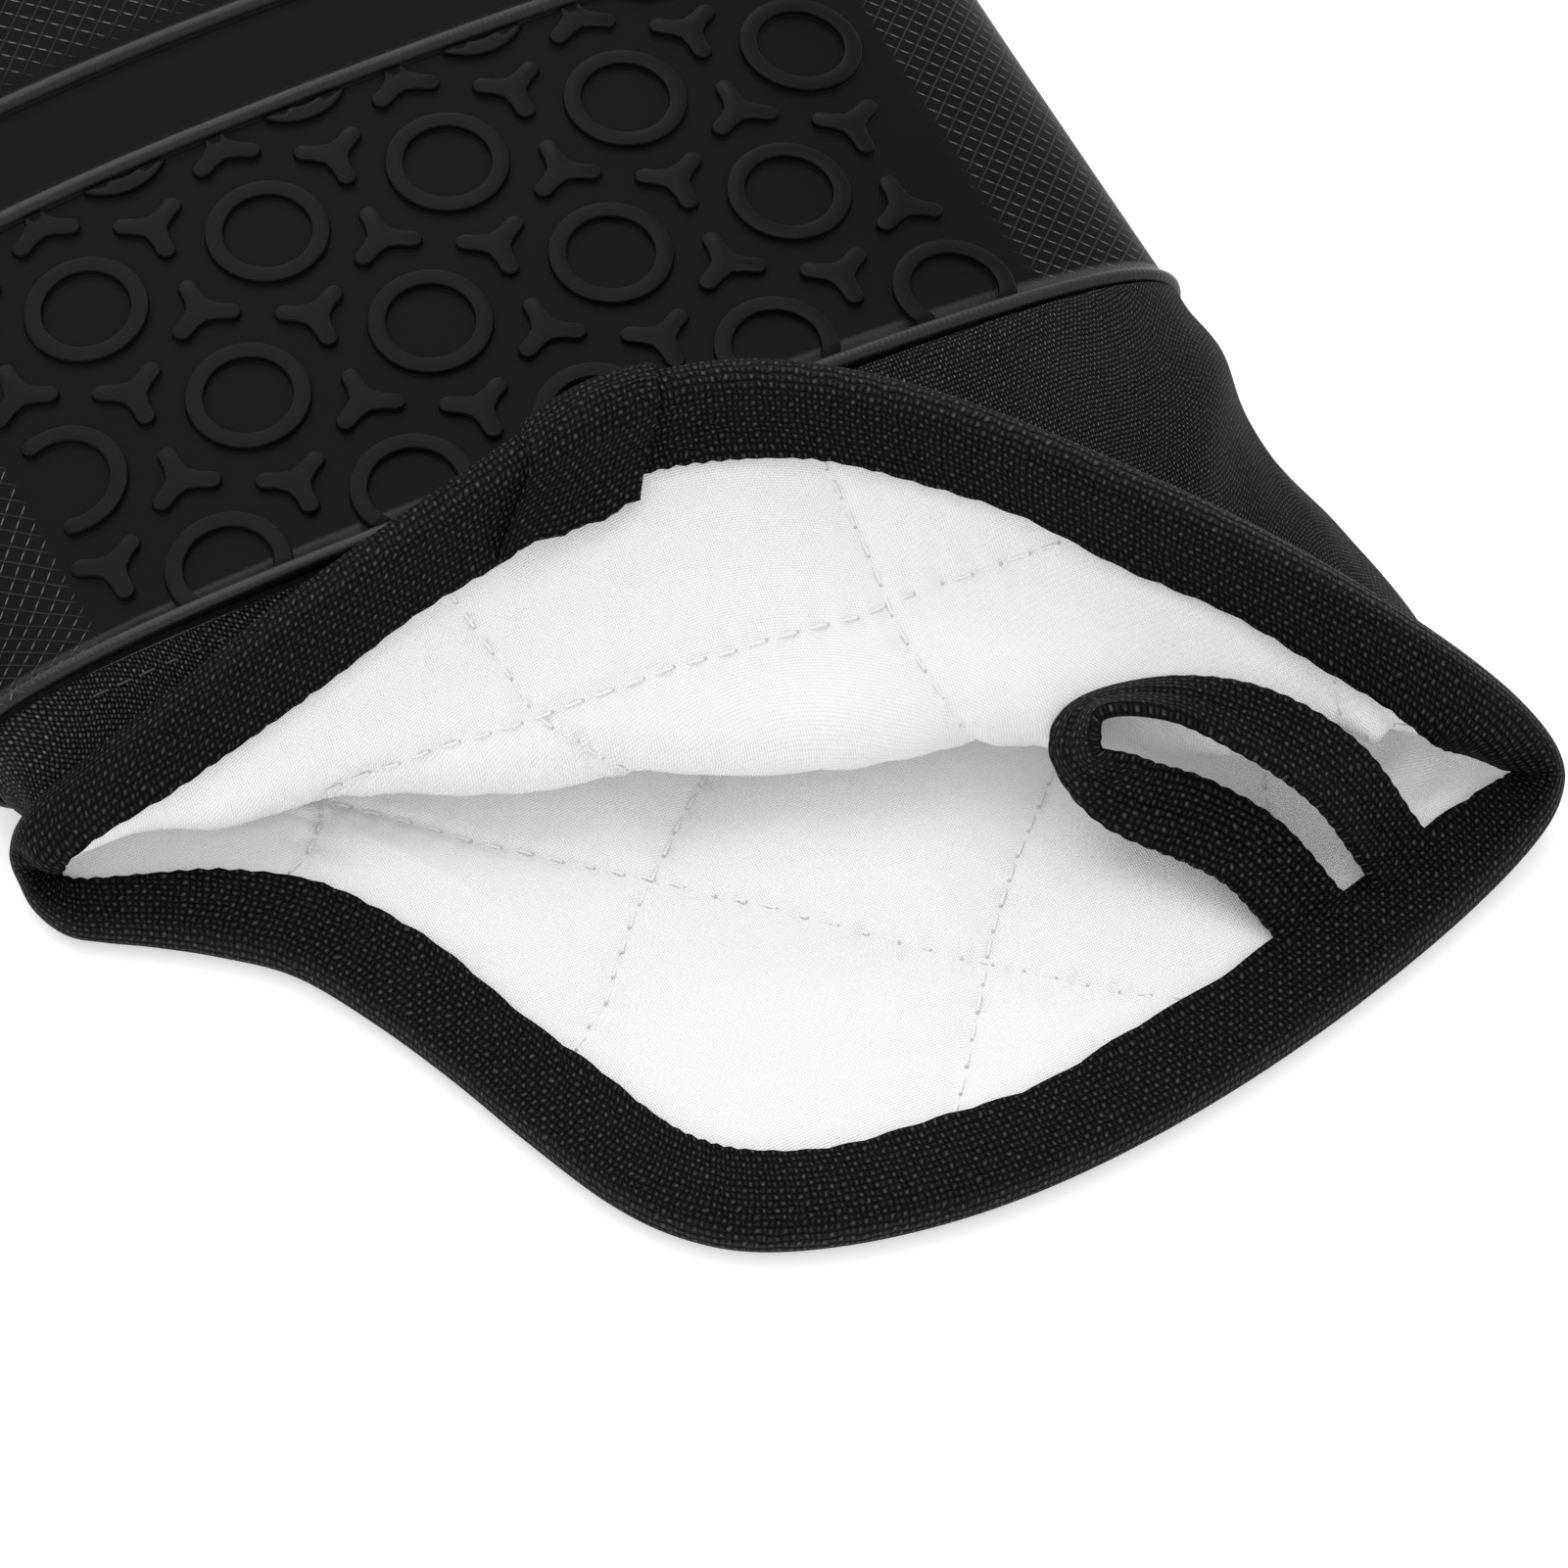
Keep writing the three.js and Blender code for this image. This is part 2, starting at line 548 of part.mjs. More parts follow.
// Tape folded over the rim, as a closed profile carried round the mouth, grown by a clearance
function rimBinding(clearance = 0) {
  const front = TAPE_INSIDE + TAPE + clearance
  const back = TAPE_OUTSIDE + TAPE + clearance
  const inside = TAPE_INSIDE - clearance
  const outside = TAPE_OUTSIDE - clearance
  return solid(
    loft(
      [
        clothRing(1, -back),
        clothRing(0, -back),
        pastRim(-0.5 * back, GAP + TAPE),
        pastRim(0.5 * front, GAP + TAPE),
        clothRing(0, front),
        clothRing(1, front),
        clothRing(1, inside),
        pastRim(inside, GAP - clearance),
        pastRim(-outside, GAP - clearance),
        clothRing(1, -outside),
      ],
      true,
    ),
  )
}

// Tail of the tape, lapped over its own start on the upper lip
const TAIL = { from: 9, to: 11, lastShare: 0.8, leg: 1.0 }
function bindingEnd() {
  const low = TAPE_INSIDE + TAPE + GAP
  const high = low + TAPE
  const back = TAPE_OUTSIDE + TAPE + GAP
  const reach = GAP + TAPE + GAP
  const faces = [
    clothRing(1, low),
    pastRim(low - 0.2, 0.3),
    pastRim(0.5 * low, reach),
    pastRim(-0.5 * back, reach),
    clothRing(0, -back),
    clothRing(1, -back),
    clothRing(1, -back - TAPE),
    pastRim(-back - TAPE, 0.4),
    pastRim(-0.5 * back, reach + TAPE),
    pastRim(0.5 * low, reach + TAPE),
    pastRim(high, 0.4),
    clothRing(1, high),
  ]
  const profiles = []
  for (let i = TAIL.from; i <= TAIL.to; i++) {
    profiles.push(faces.map((ring) => ring[i].clone()))
  }
  const before = profiles[profiles.length - 2]
  profiles[profiles.length - 1].forEach((p, k) => p.lerpVectors(before[k], p.clone(), TAIL.lastShare))
  const positions = []
  const add = (a, b, c) => positions.push(...a.toArray(), ...b.toArray(), ...c.toArray())
  const count = faces.length
  for (let s = 0; s + 1 < profiles.length; s++) {
    for (let k = 0; k < count; k++) {
      const j = (k + 1) % count
      add(profiles[s][k], profiles[s][j], profiles[s + 1][j])
      add(profiles[s][k], profiles[s + 1][j], profiles[s + 1][k])
    }
  }
  for (let k = 0; k < count / 2 - 1; k++) {
    const far = count - 1 - k
    const first = profiles[0]
    const end = profiles[profiles.length - 1]
    add(first[k], first[far], first[far - 1])
    add(first[k], first[far - 1], first[k + 1])
    add(end[k], end[far - 1], end[far])
    add(end[k], end[k + 1], end[far - 1])
  }
  return solid(positions)
}

// Tape along the loop's centre line, turned to face as the table says
function hangingLoop() {
  const path = new THREE.CatmullRomCurve3(LOOP.map((row) => vector(row.x, row.y, row.z)))
  const faces = new THREE.CatmullRomCurve3(LOOP.map((row) => vector(row.faceX, row.faceY, row.faceZ)))
  const rings = []
  for (let s = 0; s <= LOOP_TAPE.steps; s++) {
    const t = s / LOOP_TAPE.steps
    const along = path.getTangent(t)
    const face = faces.getPoint(t)
    face.addScaledVector(along, -face.dot(along)).normalize()
    const side = along.clone().cross(face).normalize()
    const corner = (u, v) =>
      path
        .getPoint(t)
        .addScaledVector(side, (u * LOOP_TAPE.width) / 2)
        .addScaledVector(face, (v * LOOP_TAPE.thick) / 2)
    rings.push([corner(-1, -1), corner(1, -1), corner(1, 1), corner(-1, 1)])
  }
  return solid(loft(rings))
}

const silicone = () => new THREE.MeshStandardMaterial({ color: '#232323', roughness: 0.55, metalness: 0 })
const cloth = (color) => new THREE.MeshStandardMaterial({ color, roughness: 0.95, metalness: 0 })

const glove = new THREE.Group()

function addPiece(name, shape, material) {
  const { numProp, vertProperties, triVerts } = shape.getMesh()
  const geometry = new THREE.BufferGeometry()
  const positions = new Float32Array((vertProperties.length / numProp) * 3)
  for (let i = 0; i < positions.length / 3; i++) {
    for (let k = 0; k < 3; k++) positions[3 * i + k] = vertProperties[numProp * i + k]
  }
  geometry.setAttribute('position', new THREE.BufferAttribute(positions, 3))
  geometry.setIndex(Array.from(triVerts))
  geometry.computeVertexNormals()
  const mesh = new THREE.Mesh(geometry, material)
  mesh.name = name
  glove.add(mesh)
}

addPiece('silicone_shell', siliconeShell(), silicone())
addPiece('lining', lining(), cloth('#f4f4f4'))
addPiece('fabric_cuff', fabricCuff(), cloth('#1d1d1d'))
addPiece('rim_binding', rimBinding(), cloth('#1b1b1b'))
addPiece('binding_end', bindingEnd(), cloth('#1b1b1b'))
addPiece('hanging_loop', hangingLoop(), cloth('#1b1b1b'))

// The origin is the middle of the underside of the whole glove's box
const box = new THREE.Box3().setFromObject(glove)
glove.position.set(-(box.min.x + box.max.x) / 2, -(box.min.y + box.max.y) / 2, -box.min.z)

export default glove
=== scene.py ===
"""Silicone oven glove on a white table, seen from above its open cuff. Sizes are in millimetres."""

import math

import bmesh
import bpy
import mathutils
import numpy as np
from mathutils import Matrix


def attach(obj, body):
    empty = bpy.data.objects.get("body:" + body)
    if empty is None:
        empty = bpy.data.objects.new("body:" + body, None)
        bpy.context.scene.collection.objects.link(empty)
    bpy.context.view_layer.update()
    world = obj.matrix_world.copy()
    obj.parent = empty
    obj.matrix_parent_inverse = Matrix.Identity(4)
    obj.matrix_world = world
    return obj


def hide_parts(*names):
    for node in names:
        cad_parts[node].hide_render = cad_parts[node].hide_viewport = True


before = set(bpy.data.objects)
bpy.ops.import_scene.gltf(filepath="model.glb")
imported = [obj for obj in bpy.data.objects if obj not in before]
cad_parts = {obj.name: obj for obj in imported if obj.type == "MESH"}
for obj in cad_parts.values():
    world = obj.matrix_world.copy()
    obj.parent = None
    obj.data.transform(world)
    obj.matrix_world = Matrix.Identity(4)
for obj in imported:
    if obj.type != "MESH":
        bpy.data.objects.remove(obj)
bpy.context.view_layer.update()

# From the middle of the cuff seam, where the shapes below are written, to the frame's origin
SEAM_TO_ORIGIN = np.array([12.21, -71.41, 0.0])

# Walls and gaps, as in the solids
SHELL_WALL = 2.0
FABRIC_WALL = 1.5
LINING_WALL = 3.0
LINING_RIM_WALL = 1.4
TAPE = 0.9
GAP = 0.3

# Hand sections
WIDEST_HEIGHT = 12.5
TOP_POWER = 2.4
UNDER_POWER = 3.2
UNDER_SINK = 1.2
SEAM_HALF = 75
SEAM_CROWN = 27
SEAM_BOW = 2.5
SEAM_SKEW = 1.0
HAND_COLUMNS = ("y", "half", "crown", "centre")
HAND = [
    (0, 75, 27, 0),
    (35, 75, 29, 0),
    (105, 75, 33, 1),
    (140, 70.5, 34, 4),
    (172, 62, 32, 8),
    (200, 49, 28, 11),
    (220, 34, 23, 13),
    (231, 19, 18.5, 14),
]
HAND_TIP = (14, 236.5, 11.5)
THUMB_ROOT = np.array([-30, 72, 0])
THUMB_AIM = np.array([-0.64, 0.77, 0]) / math.hypot(0.64, 0.77)
THUMB_COLUMNS = ("along", "half", "crown")
THUMB = [(0, 25, 26), (30, 27, 27.5), (62, 25.5, 27.5), (86, 22.5, 26), (104, 15.5, 22), (112, 8, 17.5)]
THUMB_TIP = (115.5, 11.5)
# How much steeper than its last stretch a table's curve ends
END_SLOPE = 1.6
# Where the rings start to draw in at the finger tip, and over what distance
TIP_START, TIP_REACH = 190, 45
# Where the bow of the seam has faded out
BOW_FADES = 12

# Mouth: one row for each station round the rim, from the left corner over the upper lip
MOUTH_COLUMNS = ("seam", "x", "y", "z", "tilt", "turn", "lean", "fold_x", "fold_y", "fold_z", "rise")
STRAIGHT = (None, None, None, 0)
MOUTH = [
    (0, -74.3, -8.5, 4.5, 10, 28, 5, -70.5, -2.7, 9.5, 0),
    (4, -72, -6.5, 12.5, 42, -8, 7.2, -67.5, -8, 10, 0.7),
    (9.5, -55, -7.5, 23.5, 65, 0, 10, -54, -14, 11.5, 3.2),
    (16, -38, -7.5, 32.3, 72, 0, 13, -37, -19, 13.5, 4),
    (22, -19, -7.5, 40.3, 80, 0, 13, -19.5, -27, 14.5, 4.5),
    (28, -1, -6.5, 44.5, 84, 0, 13, -1.5, -34.5, 15, 4.5),
    (33, 15.2, -10, 44.5, 84, 0, 13, 12, -40, 15, 4.5),
    (38, 31, -19.5, 41.3, 82, 0, 13, 27, -46, 15, 4.5),
    (43, 47, -35.5, 37, 78, 0, 13, 43, -54, 15, 4),
    (46.5, 62, -51, 30.5, 70, 0, 12, 58, -62, 13.5, 3),
    (49, 75, -63.5, 20.5, 55, 0, 10, 70, -62, 14, 1.2),
    (51, 82.5, -72.5, 10, 30, -30, 7, 77.5, -45, 9.5, 0),
    (54, 77, -77.5, 4.5, 10, -15, 9, 71.5, -45, 4.2, 0),
    (60, 52, -86, 3, 0, 0, 13, *STRAIGHT),
    (67, 25, -91.5, 3, 0, 0, 13, *STRAIGHT),
    (74.5, 0, -92, 3, 0, 0, 13, *STRAIGHT),
    (80, -22, -86, 3, 0, 0, 13, *STRAIGHT),
    (84, -33.5, -73.5, 3, 0, 0, 13, *STRAIGHT),
    (88, -42, -51, 3, 0, 0, 13, *STRAIGHT),
    (91.5, -51.5, -31, 3, 0, 0, 12, *STRAIGHT),
    (95, -64, -20.5, 3, 4, 8, 8.7, -61, -7, 3.5, 0),
    (98, -72, -15.3, 3, 1, 27, 6.8, -69, -3.7, 5, 0),
]
STEPS_PER_ROW = 2
FULL_LEAN = 13
FIRST_REACH = 0.35
STRAIGHT_REACH = 0.4 / 3
LINE_STEPS = 160
FOLD_DIP = 0.6
DEEPEST_DIP = 4
TAPE_LEG = 9
LEG_SHARE = 0.75
LEG_ROWS = 6
REST_ROWS = 54
EASE_PASSES = 2
PINCH_LEAN = 10
LEAST_PINCH = 0.6
FINE_STEPS = 8

# Relief on the back of the hand
RELIEF_HEIGHT = 0.76
RELIEF_NEAR = 2.4
LAST_RING_X = 51
RELIEF_LEFT, RELIEF_RIGHT, RELIEF_FAR = -57.5, 57.5, 59.2
RING_OUTER, RING_INNER = 7.1, 5.05
LATTICE_X, LATTICE_Y, LATTICE_STEP = -19.3, 44.55, 22.5
NUB_ARM, NUB_WIDTH = 4.6, 2.2
BEAD_RADIUS = 1.05
RIDGE_RADIUS = 1.2
RIDGES = (60.8, 75.1)

# Camera at the photograph's place, worked out from the ring lattice
CAMERA_TURN, CAMERA_RISE, CAMERA_ROLL = math.radians(-26.09), math.radians(53.78), math.radians(-0.50)
CAMERA_LOOK = np.array([3.6, -40.4, 13.5])
CAMERA_DISTANCE = 854.1
CAMERA_LENS = 178.5

UP = np.array([0.0, 0.0, 1.0])


def column(table, names, name):
    return np.array([row[names.index(name)] for row in table], float)


def unit(vectors):
    return vectors / np.maximum(np.linalg.norm(vectors, axis=-1, keepdims=True), 1e-9)


def power(value, exponent):
    return np.sign(value) * np.abs(value) ** exponent


def smooth_step(value, low, high):
    t = np.clip((value - low) / (high - low), 0, 1)
    return t * t * (3 - 2 * t)


def running_length(line):
    """Distance along a line of points at each of them."""
    return np.r_[0, np.cumsum(np.linalg.norm(np.diff(line, axis=0), axis=1))]


def at_length(wanted, length, line):
    """Points of a line at wanted distances along it."""
    return np.stack([np.interp(wanted, length, line[:, k]) for k in range(line.shape[1])], -1)


def catmull_rom(p, t):
    """Between the middle two of four values, for t from 0 to 1."""
    a = -p[0] + 3 * p[1] - 3 * p[2] + p[3]
    b = 2 * p[0] - 5 * p[1] + 4 * p[2] - p[3]
    return 0.5 * (2 * p[1] + (p[2] - p[0]) * t + b * t * t + a * t**3)


# Shapes of the hand


def outline(half, crown, inset=0.0, steps=1440):
    """Section of the hand in x and z, from the left side over the top."""
    angle = np.pi - 2 * np.pi * np.arange(steps) / steps
    c, s = np.cos(angle), np.sin(angle)
    over = s > 0
    tall = np.where(over, crown - inset - WIDEST_HEIGHT, WIDEST_HEIGHT + UNDER_SINK - inset)
    z = WIDEST_HEIGHT + tall * power(s, np.where(over, 2 / TOP_POWER, 2 / UNDER_POWER))
    x = (half - inset) * power(c, np.where(over, 2 / TOP_POWER, 2 / UNDER_POWER))
    return np.stack([x, np.maximum(z, max(inset, 0))], -1)


def at_shares(points, shares):
    closed = np.vstack([points, points[:1]])
    length = running_length(closed)
    return at_length((np.asarray(shares) % 1.0) * length[-1], length, closed)


def seam_bow(x, z):
    """How far the shell's edge bows toward the fingers on its upper side."""
    across = x / SEAM_HALF
    return (SEAM_BOW * across * across - SEAM_SKEW * across) * np.clip((z - 2) / 10, 0, 1)


def seam_ring(shares, inset, dy=0.0):
    ring = at_shares(outline(SEAM_HALF, SEAM_CROWN, inset), shares)
    face = at_shares(outline(SEAM_HALF, SEAM_CROWN), shares)
    return np.stack([ring[:, 0], seam_bow(face[:, 0], face[:, 1]) + dy, ring[:, 1]], -1)


def smooth_interp(value, places, heights):
    """Value of a smooth curve through a table, which never swings past its points."""
    k = np.clip(np.searchsorted(places, value) - 1, 0, len(places) - 2)
    rises = np.diff(heights) / np.diff(places)
    slopes = np.zeros(len(places))
    same = rises[:-1] * rises[1:] > 0
    total = np.where(same, rises[:-1] + rises[1:], 1)
    slopes[1:-1] = np.where(same, 2 * rises[:-1] * rises[1:] / total, 0)
    slopes[-1] = END_SLOPE * rises[-1]
    step = places[k + 1] - places[k]
    t = np.clip((value - places[k]) / step, 0, 1)
    rise = heights[k + 1] - heights[k]
    leaving = (1 - t) * (slopes[k] * step - rise)
    arriving = t * (slopes[k + 1] * step - rise)
    return heights[k] + rise * t + t * (1 - t) * (leaving - arriving)


def hand_row(y):
    """Half width, crown and centre of the hand at a distance from the seam."""
    rows = column(HAND, HAND_COLUMNS, "y")
    return [smooth_interp(y, rows, column(HAND, HAND_COLUMNS, name)) for name in HAND_COLUMNS[1:]]


def hand_ring(y, shares, inset=0.0):
    half, crown, centre = hand_row(y)
    ring = at_shares(outline(half, crown, inset), shares)
    shrink = inset * min(max((y - TIP_START) / TIP_REACH, 0), 1)
    bow = seam_bow(ring[:, 0], ring[:, 1]) * max(1 - y / BOW_FADES, 0)
    return np.stack([ring[:, 0] + centre, y - shrink + bow, ring[:, 1]], -1)


def top_height(x, y):
    half, crown, centre = hand_row(y)
    across = np.minimum(np.abs(x - centre) / half, 1)
    return WIDEST_HEIGHT + (crown - WIDEST_HEIGHT) * (1 - across**TOP_POWER) ** (1 / TOP_POWER)


# Shape of the cuff cloth: stations round the rim, rows from the rim down to the seam


def blend(values, place):
    """Closed Catmull-Rom value of a column at a place between its rows."""
    n = len(values)
    i = math.floor(place)
    t = place - i
    return catmull_rom([values[(i + k) % n] for k in (-1, 0, 1, 2)], t)


def spline(controls, t):
    """Clamped cubic B-spline through six control points."""
    knots = [0, 0, 0, 0, 1, 2, 3, 3, 3, 3]
    u = min(max(t * 3, 0), 3 - 1e-9)
    span = 3 + int(u)
    work = [controls[span - 3 + i].copy() for i in range(4)]
    for level in (1, 2, 3):
        for i in range(3, level - 1, -1):
            low, high = knots[span - 3 + i], knots[span + 1 + i - level]
            work[i] = work[i - 1] + (work[i] - work[i - 1]) * (u - low) / (high - low)
    return work[3]


def turned(v, angle):
    c, s = math.cos(angle), math.sin(angle)
    return np.array([c * v[0] - s * v[1], s * v[0] + c * v[1], 0.0])


def cuff_stations():
    """Cloth points and their directions into the glove, at every coarse station and row."""
    count = len(MOUTH) * STEPS_PER_ROW
    places = [i / STEPS_PER_ROW for i in range(count)]
    table = {name: column(MOUTH, MOUTH_COLUMNS, name) for name in MOUTH_COLUMNS}
    drift = table["seam"] / 100 - np.arange(len(MOUTH)) / len(MOUTH)
    shares = np.array([blend(drift, p) + p / len(MOUTH) for p in places])
    seam = seam_ring(shares, SHELL_WALL)
    rim = np.array([[blend(table[name], p) for name in "xyz"] for p in places])
    lean = np.array([blend(table["lean"], p) for p in places])
    ends = []
    for i, place in enumerate(places):
        along = rim[(i + 1) % count] - rim[i - 1]
        turn = math.radians(blend(table["turn"], place))
        tilt = math.radians(blend(table["tilt"], place))
        inward = turned(unit(np.array([along[1], -along[0], 0.0])), turn)
        ends.append(rim[i] + lean[i] * (inward * math.cos(tilt) - UP * math.sin(tilt)))
    named = np.stack([table["fold_x"], table["fold_y"], table["fold_z"]], -1)
    midway = (seam + np.array(ends))[::STEPS_PER_ROW] / 2
    folds = np.where(np.isnan(named), midway, named)
    points, distances = [], []
    for i, place in enumerate(places):
        fold = np.array([blend(folds[:, k], place) for k in range(3)])
        rise = max(blend(table["rise"], place), 0)
        folded = min(rise, 1)
        reach = FIRST_REACH * np.linalg.norm(fold - seam[i])
        first = seam[i] - [0, reach, folded * min(FOLD_DIP * reach, DEEPEST_DIP)]
        third = (ends[i] - first) * STRAIGHT_REACH
        below = (fold - third) * (1 - folded) + (fold - UP * rise) * folded
        above = (fold + third) * (1 - folded) + (fold + UP * rise) * folded
        controls = [seam[i], first, below, above, ends[i], rim[i]]
        line = np.array([spline(controls, 1 - k / LINE_STEPS) for k in range(LINE_STEPS + 1)])
        length = running_length(line)
        leg = min(TAPE_LEG, LEG_SHARE * lean[i])
        rest = leg + (length[-1] - leg) * np.arange(1, REST_ROWS + 1) / REST_ROWS
        wanted = np.r_[leg * np.arange(LEG_ROWS + 1) / LEG_ROWS, rest]
        points.append(at_length(wanted, length, line))
        distances.append(wanted)
    points = np.array(points)
    around = np.roll(points, -1, 0) - np.roll(points, 1, 0)
    down = -np.gradient(points, axis=1)
    inward = unit(np.cross(around, down))
    for _ in range(EASE_PASSES):
        inward = unit(2 * inward + np.roll(inward, -1, 0) + np.roll(inward, 1, 0))
    pinch = np.clip(lean / PINCH_LEAN, LEAST_PINCH, 1)
    return points, inward, np.array(distances), lean, pinch, shares


def finer(field, factor=FINE_STEPS):
    """Catmull-Rom between the stations of a closed field."""
    around = [np.roll(field, k, 0) for k in (1, 0, -1, -2)]
    between = [catmull_rom(around, j / factor) for j in range(factor)]
    return np.stack(between, 1).reshape(-1, *field.shape[1:])


class Cuff:
    """The cloth surface at fine stations, and points offset from it."""

    def __init__(self):
        points, inward, distance, lean, pinch, shares = cuff_stations()
        drift = shares - np.arange(len(shares)) / len(shares)
        self.points = finer(points)
        self.inward = unit(finer(inward))
        self.distance = finer(distance)
        self.lean = finer(lean)
        self.pinch = np.clip(finer(pinch), LEAST_PINCH, 1)
        self.count = len(self.points)
        self.shares = finer(drift) + np.arange(self.count) / self.count
        self.past = unit(self.points[:, 0] - self.points[:, 1])
        steps = np.linalg.norm(np.roll(self.points[:, 0], -1, 0) - self.points[:, 0], axis=1)
        self.along = np.r_[0, np.cumsum(steps)]
        self.place = np.arange(self.count) * len(MOUTH) / self.count

    def at(self, row, offset):
        return self.points[:, row] + self.inward[:, row] * (np.asarray(offset) * self.pinch)[..., None]

    def station(self, place):
        return place / len(MOUTH) * self.count


cuff = Cuff()
ROWS = cuff.points.shape[1]


# Meshes


def placed(points):
    return (np.asarray(points, float).reshape(-1, 3) + SEAM_TO_ORIGIN) / 1000


def make_mesh(name, points, faces, material, uvs=None):
    mesh = bpy.data.meshes.new(name)
    mesh.from_pydata(placed(points).tolist(), [], faces)
    if uvs is not None:
        layer = mesh.uv_layers.new(name="cloth")
        layer.data.foreach_set("uv", np.asarray(uvs, np.float32).ravel())
    mesh.polygons.foreach_set("use_smooth", [True] * len(mesh.polygons))
    mesh.materials.append(material)
    mesh.update()
    piece = bpy.data.objects.new(name, mesh)
    bpy.context.scene.collection.objects.link(piece)
    return piece


def grid(rows, u=None, v=None, close_rows=False):
    """Faces and corner UVs of rows of points that close on themselves, in millimetres."""
    count = len(rows[0])
    faces, uvs = [], []
    last = len(rows) if close_rows else len(rows) - 1
    for r in range(last):
        s = (r + 1) % len(rows)
        for i in range(count):
            j = (i + 1) % count
            faces.append((r * count + i, r * count + j, s * count + j, s * count + i))
            if u is not None:
                near, far = v[r], v[r + 1]
                uvs += [(u[i], near[i]), (u[i + 1], near[j]), (u[i + 1], far[j]), (u[i], far[i])]
    return faces, uvs or None


def dress(piece, slot, *nodes):
    """Lets a piece ride on the glove and stand for solids, whose meshes it hides; slot is not used."""
    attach(piece, "root")
    if nodes:
        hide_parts(*nodes)
    return piece


def outward(piece):
    """Turns all faces of a closed piece outward."""
    work = bmesh.new()
    work.from_mesh(piece.data)
    bmesh.ops.recalc_face_normals(work, faces=work.faces)
    work.to_mesh(piece.data)
    work.free()
    return piece


# Materials


SILICONE_BLACK = (0.0042, 0.0042, 0.0044)
SILICONE_SPECULAR = 0.035
BEAD_SPECULAR = 0.3
# Colours of the raised hatch lines: painted highlights, lighter than the black rubber
HATCH_FAINT_HIGHLIGHT = (0.03, 0.03, 0.03)
HATCH_HIGHLIGHT = (0.2, 0.2, 0.2)
HATCH_PITCH = 2.66
HATCH_SHARPNESS = 22.0
RIB_PITCH = 0.7
COTTON_WHITE = (0.9, 0.898, 0.91)
# Colour of the cotton's low threads: painted shade between the raised ones
COTTON_PAINTED_SHADE = (0.72, 0.718, 0.732)
# Faint glow of the cotton: painted fill light that lightens its shade
COTTON_FILL_GLOW = 0.08
COTTON_CELL = (0.27, 0.3)


class Signal:
    """A number that runs through a surface's nodes and can be reckoned with."""

    def __init__(self, surface, socket):
        self.surface = surface
        self.socket = socket

    def __add__(self, other):
        return self.surface.calc("ADD", self, other)

    def __sub__(self, other):
        return self.surface.calc("SUBTRACT", self, other)

    def __mul__(self, other):
        return self.surface.calc("MULTIPLY", self, other)

    def __pow__(self, other):
        return self.surface.calc("POWER", self, other)


class Surface:
    """A material with its shader, and short calls that each add one node."""

    def __init__(self, name, color, roughness, specular):
        self.material = bpy.data.materials.new(name)
        self.material.use_nodes = True
        self.nodes = self.material.node_tree.nodes
        self.link = self.material.node_tree.links.new
        self.inputs = self.nodes["Principled BSDF"].inputs
        self.inputs["Base Color"].default_value = (*color, 1)
        self.inputs["Roughness"].default_value = roughness
        self.inputs["Specular IOR Level"].default_value = specular

    def calc(self, operation, *values):
        node = self.nodes.new("ShaderNodeMath")
        node.operation = operation
        for socket, value in zip(node.inputs, values):
            if isinstance(value, Signal):
                self.link(value.socket, socket)
            else:
                socket.default_value = value
        return Signal(self, node.outputs[0])

    def cloth_axes(self):
        uv = self.nodes.new("ShaderNodeUVMap")
        uv.uv_map = "cloth"
        split = self.nodes.new("ShaderNodeSeparateXYZ")
        self.link(uv.outputs[0], split.inputs[0])
        return uv.outputs[0], Signal(self, split.outputs[0]), Signal(self, split.outputs[1])

    def attribute(self, name):
        node = self.nodes.new("ShaderNodeAttribute")
        node.attribute_name = name
        return Signal(self, node.outputs["Fac"])

    def noise(self, vector, scale, detail):
        node = self.nodes.new("ShaderNodeTexNoise")
        node.inputs["Scale"].default_value = scale
        node.inputs["Detail"].default_value = detail
        self.link(vector, node.inputs["Vector"])
        return Signal(self, node.outputs["Fac"])

    def bump(self, height, distance):
        node = self.nodes.new("ShaderNodeBump")
        node.inputs["Distance"].default_value = distance / 1000
        self.link(height.socket, node.inputs["Height"])
        self.link(node.outputs[0], self.inputs["Normal"])

    def color_by(self, factor, stops):
        node = self.nodes.new("ShaderNodeValToRGB")
        self.link(factor.socket, node.inputs[0])
        elements = node.color_ramp.elements
        while len(elements) < len(stops):
            elements.new(0.5)
        for element, (place, color) in zip(elements, stops):
            element.position = place
            element.color = (*color, 1)
        self.link(node.outputs[0], self.inputs["Base Color"])

    def glow(self, strength):
        self.inputs["Emission Color"].default_value = (1, 1, 1, 1)
        self.inputs["Emission Strength"].default_value = strength


def weave_height(cloth, u, v, cell_u, cell_v, under, fullness):
    """Plain weave: threads that come up in a staggered order, with lower ones between them."""
    crossing = cloth.calc("SINE", u * (math.pi / cell_u)) * cloth.calc("SINE", v * (math.pi / cell_v))
    return cloth.calc("MAXIMUM", crossing, crossing * -under) ** fullness


def woven(name, dark, light, cell_u, cell_v, depth):
    """Cloth with painted highlights on its raised threads, brighter on some than on others."""
    cloth = Surface(name, dark, 0.6, 0.08)
    uv, u, v = cloth.cloth_axes()
    wobble = cloth.noise(uv, 0.5, 3) - 0.5
    shifted = u + wobble * (1.6 * cell_u), v + wobble * (1.1 * cell_v)
    height = weave_height(cloth, *shifted, cell_u, cell_v, 0.4, 0.6)
    glint = height * (cloth.noise(uv, 1.7, 2) + 0.25)
    # Painted highlights: raised threads coloured up to the light colour, some more than others at random
    cloth.color_by(glint, [(0.2, dark), (0.55, tuple(0.25 * c for c in light)), (0.9, light)])
    cloth.bump(height, depth)
    return cloth.material


